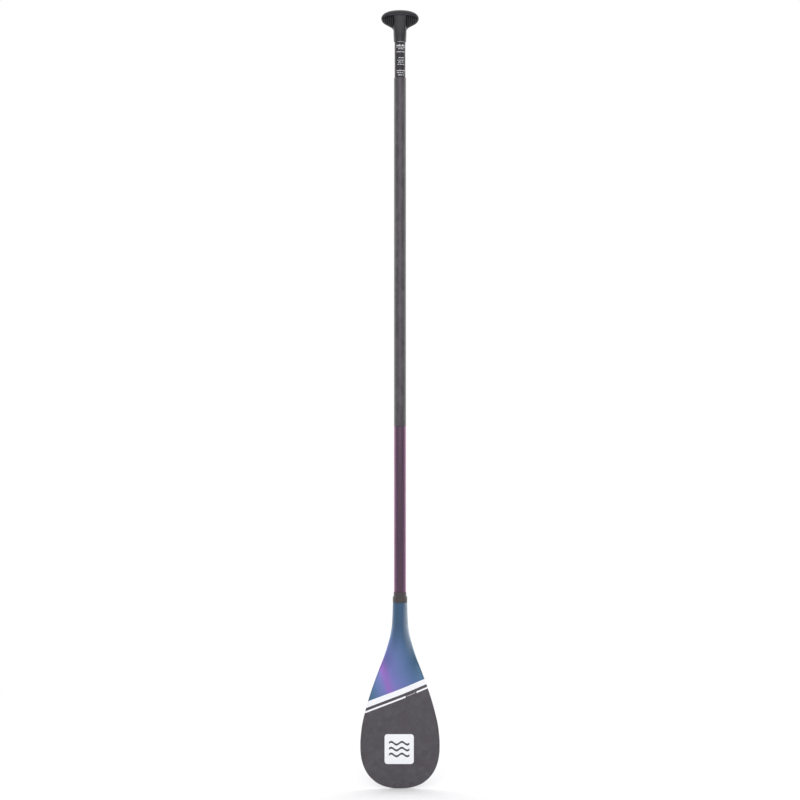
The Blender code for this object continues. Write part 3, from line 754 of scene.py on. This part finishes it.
def grey_carbon_finish():
    """Mottled grey carbon tube, its flakes drawn out along the shaft."""
    finish = Finish("grey_carbon", coat=0.15, coat_roughness=0.35)
    shade, level = mottled(finish, colour(50, 45, 51), colour(79, 74, 80), (1.0, 1.0, 0.45))
    finish.set("Base Color", shade)
    finish.set("Roughness", finish.math("MULTIPLY_ADD", level, 0.15, 0.42))
    finish.bump(finish.math("MULTIPLY_ADD", level, 0.5, finish.noise(1.4 * MM, 2.0)), 0.06 * MM)
    return finish.material


def black_tube_finish():
    """Satin black tube with faint lengthwise fibres."""
    finish = Finish("black_tube")
    finish.set("Specular IOR Level", 0.30)
    fibre = finish.noise(1.5 * MM, 2.0, (1.0, 1.0, 0.05))
    finish.set("Base Color", finish.mix(fibre, colour(40, 37, 41), colour(54, 50, 53)))
    finish.set("Roughness", finish.math("MULTIPLY_ADD", fibre, 0.12, 0.38))
    finish.bump(fibre, 0.03 * MM)
    return finish.material


def moulded_finish(name, dark, light, roughness):
    """Moulded plastic: a fine spark-eroded grain and slight colour drift."""
    finish = Finish(name)
    finish.set("Specular IOR Level", 0.4)
    drift = finish.noise(22.0 * MM, 3.0)
    grain = finish.noise(0.5 * MM, 1.0)
    finish.set("Base Color", finish.mix(drift, dark, light))
    finish.set("Roughness", finish.math("MULTIPLY_ADD", drift, 0.12, roughness))
    finish.bump(grain, 0.03 * MM, 0.6)
    return finish.material


def steel_finish():
    """Stainless steel with fine random scratches."""
    finish = Finish("steel", metallic=1.0)
    scratch = finish.noise(0.4 * MM, 2.0, (1.0, 0.15, 1.0))
    finish.set("Base Color", finish.mix(scratch, colour(168, 169, 172), colour(204, 205, 207)))
    finish.set("Roughness", finish.math("MULTIPLY_ADD", scratch, 0.20, 0.22))
    finish.bump(scratch, 0.01 * MM)
    return finish.material


def foam_finish():
    """Closed-cell foam."""
    finish = Finish("foam", roughness=0.95)
    cell = finish.flakes(1.2 * MM)
    finish.set("Base Color", finish.mix(cell, colour(214, 210, 198), colour(234, 231, 222)))
    finish.bump(cell, 0.15 * MM)
    return finish.material


def rubber_finish():
    finish = Finish("rubber", roughness=0.8)
    dust = finish.noise(4.0 * MM, 4.0)
    finish.set("Base Color", finish.mix(dust, colour(34, 34, 35), colour(58, 57, 57)))
    finish.bump(finish.noise(0.8 * MM, 2.0), 0.05 * MM)
    return finish.material


def rod_finish():
    """Pultruded carbon rod with fibres along it."""
    finish = Finish("composite_rod")
    fibre = finish.noise(0.6 * MM, 2.0, (1.0, 1.0, 0.02))
    finish.set("Base Color", finish.mix(fibre, colour(62, 62, 64), colour(96, 96, 98)))
    finish.set("Roughness", finish.math("MULTIPLY_ADD", fibre, 0.2, 0.35))
    finish.bump(fibre, 0.03 * MM)
    return finish.material


def ink_finish():
    finish = Finish("white_ink", roughness=0.5)
    wear = finish.noise(1.5 * MM, 3.0)
    finish.set("Base Color", finish.mix(wear, colour(214, 214, 220), colour(246, 246, 248)))
    return finish.material


# ---------------------------------------------------------------- pieces


def show(obj, body, slot, material, *replaced):
    """Gives a finished piece its body and its material, and hides the CAD nodes it stands for. The
    slot is not used.
    """
    obj.data.materials.clear()
    obj.data.materials.append(material)
    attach(obj, body)
    if replaced:
        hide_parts(*replaced)


def blade_half_width(height):
    if height >= WIDEST_HEIGHT:
        return along(UPPER_OUTLINE, height)
    drop = (WIDEST_HEIGHT - height) / (WIDEST_HEIGHT + TIP_FLAT)
    return BLADE_HALF_WIDTH * (1.0 - drop**TIP_SQUARENESS) ** (1.0 / TIP_SQUARENESS)


def blade_middle_y(height):
    """Where the blade's middle surface is: on the shaft's axis, then leaning forward."""
    bend = BEND_TOP - BEND_BOTTOM
    if height > BEND_TOP:
        return 0.0
    if height > BEND_BOTTOM:
        return -math.tan(BLADE_LEAN) / (2.0 * bend) * (BEND_TOP - height) ** 2
    return -math.tan(BLADE_LEAN) * (bend / 2.0 + BEND_BOTTOM - height)


def blade_half_thickness(spine, height, across):
    """Distance from the middle surface to the front or back, at a share of the half width."""
    width = blade_half_width(height)
    neck = min(max((height - NECK_ROUND_FROM) / NECK_ROUND_RANGE, 0.0), 1.0)
    flat_share = max(1.0 - EDGE_ROUNDING / width, 0.0) * (1.0 - neck)
    across = min(abs(across), 1.0)
    edge = 1.0
    if across > flat_share:
        edge = math.sqrt(1.0 - ((across - flat_share) / (1.0 - flat_share)) ** 2)
    ridge = (1.0 - across * across) ** along(SPINE_POWER, height)
    thickness = EDGE_HALF_THICKNESS * edge + (along(spine, height) - EDGE_HALF_THICKNESS) * ridge
    if height < TIP_ROUNDING:
        rounding = math.sqrt(1.0 - (1.0 - height / TIP_ROUNDING) ** 2)
        thickness *= TIP_THICKNESS_SHARE + (1.0 - TIP_THICKNESS_SHARE) * rounding
    return thickness


def make_blade():
    """Blade and neck in one skin, with the bore in the neck that takes the lower shaft."""
    quarter = math.pi / 2.0
    heights = [WIDEST_HEIGHT * (1.0 - math.cos(quarter * i / TIP_ROWS)) for i in range(TIP_ROWS)]
    rise = BLADE_LENGTH - WIDEST_HEIGHT
    heights += [WIDEST_HEIGHT + rise * i / UPPER_ROWS for i in range(UPPER_ROWS + 1)]
    angles = [2.0 * math.pi * i / SECTION_STEPS for i in range(SECTION_STEPS)]
    rows = []
    for height in heights:
        row = []
        for angle in angles:
            across = math.cos(angle)
            spine, side = (FRONT_SPINE, -1.0) if math.sin(angle) > 0.0 else (BACK_SPINE, 1.0)
            depth = blade_half_thickness(spine, height, across)
            x = blade_half_width(height) * across
            row.append((x, blade_middle_y(height) + side * depth, TIP_Z + height))
        rows.append(row)
    bore = SHAFT_RADIUS + GAP
    bore_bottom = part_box("lower_shaft")[0].z - GAP
    for z in (TIP_Z + BLADE_LENGTH, bore_bottom):
        rows.append([(bore * math.cos(a), -bore * math.sin(a), z) for a in angles])
    blade = solid_from("blade", rows)
    show(blade, "blade_section", "blade_paint", blade_finish(), "blade_front_skin", "blade_back_skin")


def make_collar(material):
    """Two-step sleeve over the joint of neck and shaft."""
    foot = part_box("neck_collar")[0].z
    bore = SHAFT_RADIUS + GAP
    outline = [(radius, foot + height) for height, radius in reversed(SLEEVE_CORNERS)]
    outline += [(bore, outline[-1][1]), (bore, outline[0][1])]
    collar = turned("collar", rounded(outline, 0.5 * MM), ring=True)
    show(collar, "blade_section", "collar_sleeve", material, "neck_collar")


def make_shafts():
    low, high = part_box("lower_shaft")
    lower = tube("lower_tube", SHAFT_RADIUS, SHAFT_BORE_RADIUS, low.z, high.z)
    show(lower, "blade_section", "lower_shaft_paint", purple_finish(), "lower_shaft")
    low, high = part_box("upper_shaft")
    upper = tube("upper_tube", SHAFT_RADIUS, SHAFT_BORE_RADIUS, low.z, high.z, (BUTTON_Z, KEY_Z))
    holes = []
    for name, radius, height in (
        ("button_hole", BUTTON_HOLE_RADIUS, BUTTON_Z),
        ("key_hole", KEY_HOLE_RADIUS, KEY_Z),
    ):
        holes.append(facing_back(rod(name, radius, *HOLE_REACH), height))
    combine(upper, holes, "DIFFERENCE")
    show(upper, "blade_section", "grey_carbon", grey_carbon_finish(), "upper_shaft")


def make_sliding_tube():
    low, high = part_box("adjust_tube")
    inner = tube("inner_tube", high.x, TUBE_BORE_RADIUS, low.z, high.z)
    groove = box(
        "groove",
        (-GROOVE_HALF_WIDTH, GROOVE_FLOOR_Y, low.z - OVERRUN),
        (GROOVE_HALF_WIDTH, 2.0 * high.x, STEM_BOTTOM_Z - GROOVE_END_BELOW_STEM),
    )
    hole = facing_back(rod("screw_hole", SCREW_HOLE_RADIUS, *HOLE_REACH), GRIP_SCREW_Z)
    combine(inner, [groove, hole], "DIFFERENCE")
    show(inner, "handle", "black_tube", black_tube_finish(), "adjust_tube")


def label_dashes():
    """Each printed line as words of plain dashes: start, end, foot below the stem, height."""
    chance = random.Random(4)
    for drop, height, width in LABEL_LINES:
        step = LETTER_STEP * height
        place = -width / 2.0
        left_in_word = chance.randint(*WORD_LENGTHS)
        while place + step <= width / 2.0:
            letter = height * chance.choice(LETTER_HEIGHTS)
            yield place, place + LETTER_STROKE * step, drop + LETTER_FOOT * height, letter
            place += step
            left_in_word -= 1
            if left_in_word == 0:
                place += WORD_SPACE * step
                left_in_word = chance.randint(*WORD_LENGTHS)
    drop, height, width = UNDERLINE
    for i in range(UNDERLINE_PARTS):
        start = width * (i / UNDERLINE_PARTS - 0.5)
        yield start, start + width / UNDERLINE_PARTS, drop, height


def make_label():
    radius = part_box("adjust_tube")[1].x + LABEL_LIFT
    print_mesh = bmesh.new()
    for start, end, foot, height in label_dashes():
        low = STEM_BOTTOM_Z - foot
        high = low + height
        corners = []
        for along_line, z in ((start, low), (end, low), (end, high), (start, high)):
            angle = LABEL_TURN + along_line / radius
            place = (radius * math.sin(angle), -radius * math.cos(angle), z)
            corners.append(print_mesh.verts.new(place))
        print_mesh.faces.new(corners)
    mesh = bpy.data.meshes.new("tube_label")
    print_mesh.to_mesh(mesh)
    print_mesh.free()
    label = bpy.data.objects.new("tube_label", mesh)
    bpy.context.scene.collection.objects.link(label)
    show(label, "handle", "black_tube", ink_finish())


def arch(x):
    """How far the grip's rim rises above its ends."""
    return RIM_ARCH * (1.0 - (x / GRIP_HALF_WIDTH) ** 2)


def share_between(value, limits):
    low, high = limits
    return min(max((value - low) / (high - low), 0.0), 1.0)


def lifted(height, x):
    """Height of a grip row at X: level low down, and arched like the rim close to it."""
    return height + share_between(height, (ARCH_BOTTOM_Z, RIM_Z)) ** 2 * arch(x)


def rows_between(row_at, low, high, steps):
    return [row_at(low + (high - low) * i / steps) for i in range(steps + 1)]


def wing_row(height, size=1.0):
    half_width = size * along(WING_WIDTHS, height)
    half_depth = size * along(WING_DEPTHS, height)
    return ellipse_row(half_width, half_depth, lambda x: lifted(height, x), WING_SQUARENESS)


def wing_rows():
    """Rows up to the rim, closed by rows that shrink to the middle of the arched top and foot."""
    rows = [wing_row(WING_WIDTHS[0][0], share) for share in (0.0, 0.35, 0.7)]
    rows += rows_between(wing_row, WING_WIDTHS[0][0], RIM_Z, WING_ROWS)
    return rows + [wing_row(RIM_Z, share) for share in (0.8, 0.6, 0.4, 0.2, 0.0)]


def slot_boxes():
    boxes = []
    for i in range(SLOT_COUNT):
        x = FIRST_SLOT_X + i * SLOT_PITCH
        bottom = FIRST_SLOT_Z + SLOT_RISE * i * SLOT_PITCH
        top = RIM_Z + RIM_ARCH + 1.0 * MM
        for side in (-1.0, 1.0):
            for face in (-1.0, 1.0):
                near, far = sorted((face * SLOT_FLOOR_Y, face * 2.0 * GRIP_HALF_DEPTH))
                left, right = sorted((side * (x - SLOT_WIDTH / 2.0), side * (x + SLOT_WIDTH / 2.0)))
                boxes.append(box("slot", (left, near, bottom), (right, far, top)))
    return boxes


def stem_row(height, size=1.0):
    """A row that is round low down and square near the rim, with a low tongue on its front."""
    share = share_between(height, TONGUE_Z)
    half_width = 0.1 * MM + TONGUE_HALF_WIDTH * share**0.7
    low, high = SQUARENESS
    power = low + (high - low) * share_between(height, SQUARE_FROM_Z)
    row = []
    for i in range(TUBE_STEPS):
        angle = 2.0 * math.pi * i / TUBE_STEPS
        across, ahead = math.sin(angle), math.cos(angle)
        reach = (abs(across) ** power + abs(ahead) ** power) ** (1.0 / power)
        radius = along(STEM_RADII, height) / reach
        aside = abs(radius * across) / half_width
        if aside < 1.0 and ahead > 0.0:
            radius += TONGUE_RISE * min(4.0 * share, 1.0) * (1.0 - aside**2)
        x = size * radius * across
        row.append((x, -size * radius * ahead, lifted(height, x)))
    return row


def stem_rows():
    top = STEM_RADII[-1][0]
    rows = rows_between(stem_row, STEM_BOTTOM_Z, top, STEM_ROWS)
    return rows + [stem_row(top, share) for share in (0.66, 0.33, 0.0)]


def make_grip_body(material):
    """Stem and ribbed wings in one moulding, with the lever's pocket at the back."""
    body = solid_from("grip_body", wing_rows())
    combine(body, slot_boxes(), "DIFFERENCE")
    stem = solid_from("stem", stem_rows())
    combine(body, [stem], "UNION")
    bore_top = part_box("adjust_tube")[1].z + ROOM_ABOVE_TUBE
    bore = rod("stem_bore", STEM_BORE_RADIUS, STEM_BOTTOM_Z - OVERRUN, bore_top)
    pocket = box(
        "pocket",
        (-POCKET_HALF_WIDTH, POCKET_FRONT_Y, POCKET_Z[0]),
        (POCKET_HALF_WIDTH, 2.0 * GRIP_HALF_DEPTH, POCKET_Z[1]),
    )
    seat = facing_back(rod("screw_seat", SCREW_SEAT_RADIUS, SCREW_SEAT_Y, HOLE_REACH[1]), GRIP_SCREW_Z)
    way = facing_back(rod("screw_way", SCREW_HOLE_RADIUS, *HOLE_REACH), GRIP_SCREW_Z)
    combine(body, [bore, pocket, seat, way], "DIFFERENCE")
    mould(body, GRIP_DETAIL, 3)
    show(body, "handle", "black_plastic", material, "grip_frame")


def dome_row(half_width, half_depth, height):
    """A row of the palm rest at a height above its lower edge, which is arched like the rim."""
    bottom = RIM_Z + GAP
    lift = 1.0 - height / (GRIP_TOP_Z - bottom)
    return ellipse_row(half_width, half_depth, lambda x: bottom + height + lift * arch(x))


def make_grip_dome(material):
    """The palm rest: a shallow dome with an upright lip at its front and back, hollow inside."""
    rise = GRIP_TOP_Z - RIM_Z - GAP
    quarter = math.pi / 2.0
    low_angle = math.asin(LIP_HEIGHT / rise)
    edge = []
    for i in range(DOME_ROWS + 1):
        angle = quarter + (low_angle - quarter) * i / DOME_ROWS
        half_depth = GRIP_HALF_DEPTH * math.cos(angle) / math.cos(low_angle)
        edge.append((rise * math.sin(angle), half_depth))
    for i in range(1, LIP_ROWS + 1):
        turn = quarter * i / LIP_ROWS
        under = LIP_INSET * (1.0 - math.sqrt(max(math.cos(turn), 0.0)))
        edge.append((LIP_HEIGHT * (1.0 - math.sqrt(math.sin(turn))), GRIP_HALF_DEPTH - under))
    skin = []
    for height, half_depth in edge:
        half_width = GRIP_HALF_WIDTH * math.sqrt(max(1.0 - (height / rise) ** 2, 0.0))
        skin.append(dome_row(half_width, half_depth, height))
    for i in range(DOME_ROWS + 1):
        angle = quarter * i / DOME_ROWS
        half_width = (GRIP_HALF_WIDTH - CAP_END_WALL) * math.cos(angle)
        half_depth = (GRIP_HALF_DEPTH - CAP_WALL) * math.cos(angle)
        skin.append(dome_row(half_width, half_depth, (rise - CAP_WALL) * math.sin(angle)))
    dome = solid_from("grip_dome", skin, caps=False)
    show(dome, "handle", "black_plastic", material, "grip_cap")


def cam_outline():
    """The cam, as (Y, Z) from the pin: its reach shrinks evenly as the lever opens."""
    fall = CAM_DROP / LEVER_OPENING
    points = []
    for step in range(40, -3, -1):
        angle = CAM_STEP * step
        reach = CAM_CLOSED - fall * min(angle, LEVER_OPENING)
        slope = -fall if angle <= LEVER_OPENING else 0.0
        y = -reach * math.sin(angle) - slope * math.cos(angle)
        z = -reach * math.cos(angle) + slope * math.sin(angle)
        points.append((y, z))
    return points


def make_lever(material):
    outline = cam_outline() + rounded(LEVER_ARM, 1.5 * MM, closed=False)
    lever = plate("cam_lever", outline, -LEVER_HALF_WIDTH, LEVER_HALF_WIDTH)
    fork = box(
        "fork",
        (-FORK_HALF_GAP, -FORK_REACH, -FORK_REACH),
        (FORK_HALF_GAP, FORK_BACK_Y, FORK_REACH),
    )
    sideways = Matrix.Rotation(math.radians(90.0), 4, "Y")
    pin_room = moved(rod("pin_room", PIN_ROOM_RADIUS, -FORK_REACH, FORK_REACH), sideways)
    ribs = []
    for i in range(RIB_COUNT):
        place = Matrix.Translation((0.0, RIB_Y, -(FIRST_RIB_DROP + RIB_PITCH * i)))
        rib = rod("rib", RIB_RADIUS, -RIB_HALF_LENGTH, RIB_HALF_LENGTH, 16)
        ribs.append(moved(rib, place @ sideways))
    combine(lever, [fork, pin_room, *ribs], "DIFFERENCE")
    mould(lever, LEVER_DETAIL, 4)
    moved(lever, Matrix.Translation((0.0, 0.0, PIN_Z)))
    show(lever, "lever", "black_plastic", material, "lever")


def make_snap_button(material):
    low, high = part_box("snap_button")
    profile = [(radius, high.y - drop) for radius, drop in BUTTON_HEAD]
    profile += [
        (BUTTON_RADIUS, BUTTON_FLANGE_Y),
        (BUTTON_FLANGE_RADIUS, BUTTON_FLANGE_Y),
        (BUTTON_FLANGE_RADIUS, low.y),
        (0.0, low.y),
    ]
    button = turned("button", rounded(profile, 0.3 * MM, closed=False), 64)
    show(facing_back(button, BUTTON_Z), "snap_button", "bright_metal", material, "snap_button")


def make_key(material):
    """A rivet through the upper shaft. Its tail runs in the sliding tube's groove."""
    low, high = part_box("anti_twist_key")
    under_head = SHAFT_RADIUS + GAP
    profile = [
        (0.0, high.y),
        (1.5 * MM, high.y - 0.08 * MM),
        (2.5 * MM, under_head + 0.3 * MM),
        (2.8 * MM, under_head),
        (KEY_RADIUS, under_head),
        (KEY_RADIUS, low.y),
        (0.0, low.y),
    ]
    rivet = turned("rivet", rounded(profile, 0.15 * MM, closed=False), 48)
    show(facing_back(rivet, KEY_Z), "blade_section", "bright_metal", material, "anti_twist_key")


def make_grip_screw(material):
    """A button-head screw with a six-sided recess."""
    low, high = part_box("grip_screw")
    profile = [
        (0.0, high.y),
        (2.0 * MM, high.y - 0.02 * MM),
        (SCREW_HEAD_RADIUS, high.y - 0.3 * MM),
        (SCREW_HEAD_RADIUS, SCREW_HEAD_Y),
        (SCREW_RADIUS, SCREW_HEAD_Y),
        (SCREW_RADIUS, low.y + 0.3 * MM),
        (0.0, low.y),
    ]
    screw = turned("screw", rounded(profile, 0.15 * MM, closed=False), 48)
    screw = facing_back(screw, GRIP_SCREW_Z)
    recess = rod("recess", RECESS_RADIUS, high.y - RECESS_DEPTH, high.y + 1.0 * MM, 6)
    combine(screw, [facing_back(recess, GRIP_SCREW_Z)], "DIFFERENCE")
    show(screw, "handle", "bright_metal", material, "grip_screw")


def make_button_spring(material):
    """A bent leaf with a rear leg at the button and a front leg on the wall."""
    low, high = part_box("button_spring")
    half = LEAF_THICKNESS / 2.0
    line = [
        (high.y - half, high.z),
        (high.y - half, BUTTON_Z - LEAF_STRAIGHT_DROP),
        (0.0, low.z + LEAF_THICKNESS),
        (low.y + half, high.z),
    ]
    line = [Vector(point) for point in rounded(line, LEAF_BEND_RADIUS, closed=False, steps=8)]
    outer, inner = [], []
    for i, point in enumerate(line):
        run = line[min(i + 1, len(line) - 1)] - line[max(i - 1, 0)]
        side = half * Vector((-run.y, run.x)).normalized()
        outer.append(tuple(point + side))
        inner.append(tuple(point - side))
    leaf = plate("spring_leaf", outer + inner[::-1], low.x, high.x)
    leaf.data.materials.append(material)
    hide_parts("button_spring")
    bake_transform(leaf)


def dress_hidden_parts(steel, plastic):
    """The parts inside the tubes keep their CAD shape and get their real surface."""
    foam = foam_finish()
    surfaces = {
        "blade_foam_core": foam,
        "lower_shaft_foam_plug": foam,
        "ferrule": black_tube_finish(),
        "tube_end_plug": plastic,
        "expander_rubber": rubber_finish(),
        "expander_washer": steel,
        "expander_nut": steel,
        "draw_rod": rod_finish(),
        "lever_pin": steel,
        "cam_plate": steel,
    }
    for name, material in surfaces.items():
        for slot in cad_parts[name].material_slots:
            slot.material = material


# ---------------------------------------------------------------- stage


def studio_strength(tree):
    """White where it is looked at. As lighting it is dim in front and bright behind."""
    place = tree.nodes.new("ShaderNodeTexCoord")
    split = tree.nodes.new("ShaderNodeSeparateXYZ")
    tree.links.new(place.outputs["Generated"], split.inputs[0])
    behind = tree.nodes.new("ShaderNodeMapRange")
    behind.interpolation_type = "SMOOTHSTEP"
    behind.inputs["From Min"].default_value = LIGHT_CHANGE_Y[0]
    behind.inputs["From Max"].default_value = LIGHT_CHANGE_Y[1]
    behind.inputs["To Min"].default_value = FRONT_LIGHT
    behind.inputs["To Max"].default_value = BACK_LIGHT
    tree.links.new(split.outputs["Y"], behind.inputs["Value"])
    path = tree.nodes.new("ShaderNodeLightPath")
    strength = tree.nodes.new("ShaderNodeMix")
    tree.links.new(path.outputs["Is Camera Ray"], strength.inputs[0])
    tree.links.new(behind.outputs[0], strength.inputs[2])
    strength.inputs[3].default_value = 1.0
    return strength.outputs[0]


def make_world():
    world = bpy.data.worlds.new("studio")
    world.use_nodes = True
    bpy.context.scene.world = world
    background = world.node_tree.nodes["Background"]
    background.inputs["Color"].default_value = (1.0, 1.0, 1.0, 1.0)
    world.node_tree.links.new(studio_strength(world.node_tree), background.inputs["Strength"])


def make_floor():
    """A pale floor that fades into the white of the studio, so no horizon shows."""
    size = FLOOR_HALF_SIZE
    z = cad_box[0].z - GAP
    corners = [(-size, -size), (size, -size), (size, size), (-size, size)]
    mesh = bpy.data.meshes.new("floor")
    mesh.from_pydata([(x, y, z) for x, y in corners], [], [(0, 1, 2, 3)])
    floor = bpy.data.objects.new("floor", mesh)
    bpy.context.scene.collection.objects.link(floor)
    finish = Finish("pale_floor", roughness=0.9)
    finish.set("Base Color", colour(243, 243, 244))
    finish.set("Specular IOR Level", 0.0)
    x, y, _ = finish.xyz()
    squares = finish.math("ADD", finish.math("MULTIPLY", x, x), finish.math("MULTIPLY", y, y))
    away = finish.ease(finish.math("SQRT", squares), *FLOOR_FADE)
    glow = finish.node("ShaderNodeEmission")
    finish.feed(glow.inputs["Strength"], 1.0)
    fade = finish.node("ShaderNodeMixShader")
    finish.feed(fade.inputs[0], away)
    finish.feed(fade.inputs[1], finish.shader.outputs[0])
    finish.feed(fade.inputs[2], glow.outputs[0])
    finish.feed(finish.tree.nodes["Material Output"].inputs["Surface"], fade.outputs[0])
    mesh.materials.append(finish.material)


def aimed(obj, place, target):
    obj.location = place
    obj.rotation_euler = (Vector(target) - Vector(place)).to_track_quat("-Z", "Y").to_euler()
    bpy.context.scene.collection.objects.link(obj)


def make_lights():
    """A big soft box above the camera and two narrow ones behind that edge the tubes."""
    for name, place, power, width, height in (
        ("key", (0.0, -4.2, 1.3), 88.0, 5.0, 2.4),
        ("left_edge", (-2.8, 1.6, 0.4), 27.0, 0.8, 3.0),
        ("right_edge", (2.8, 1.6, 0.4), 27.0, 0.8, 3.0),
    ):
        light = bpy.data.lights.new(name, "AREA")
        light.shape = "RECTANGLE"
        light.size = width
        light.size_y = height
        light.energy = power
        aimed(bpy.data.objects.new(name, light), place, LIGHT_TARGET)


def make_camera():
    low, high = cad_box
    middle = (low.z + high.z) / 2.0
    place = Vector((0.0, -CAMERA_DISTANCE, CAMERA_HEIGHT))
    target = Vector((0.0, 0.0, middle))
    camera = bpy.data.cameras.new("camera")
    camera.sensor_width = SENSOR_WIDTH
    half_height = (high.z - low.z) / 2.0 * FRAME_MARGIN
    camera.lens = SENSOR_WIDTH / 2.0 * (place - target).length / half_height
    camera.clip_end = 200.0
    obj = bpy.data.objects.new("camera", camera)
    aimed(obj, place, target)
    bpy.context.scene.camera = obj


def main():
    plastic = moulded_finish("black_nylon", colour(28, 25, 30), colour(38, 35, 41), 0.36)
    sleeve = moulded_finish("sleeve_plastic", colour(58, 52, 54), colour(70, 63, 65), 0.42)
    steel = steel_finish()
    make_blade()
    make_collar(sleeve)
    make_shafts()
    make_sliding_tube()
    make_label()
    make_grip_body(plastic)
    make_grip_dome(plastic)
    make_lever(plastic)
    make_snap_button(steel)
    make_key(steel)
    make_grip_screw(steel)
    make_button_spring(steel)
    dress_hidden_parts(steel, plastic)
    make_world()
    make_floor()
    make_lights()
    make_camera()
    bpy.context.scene.view_settings.view_transform = "Standard"


main()
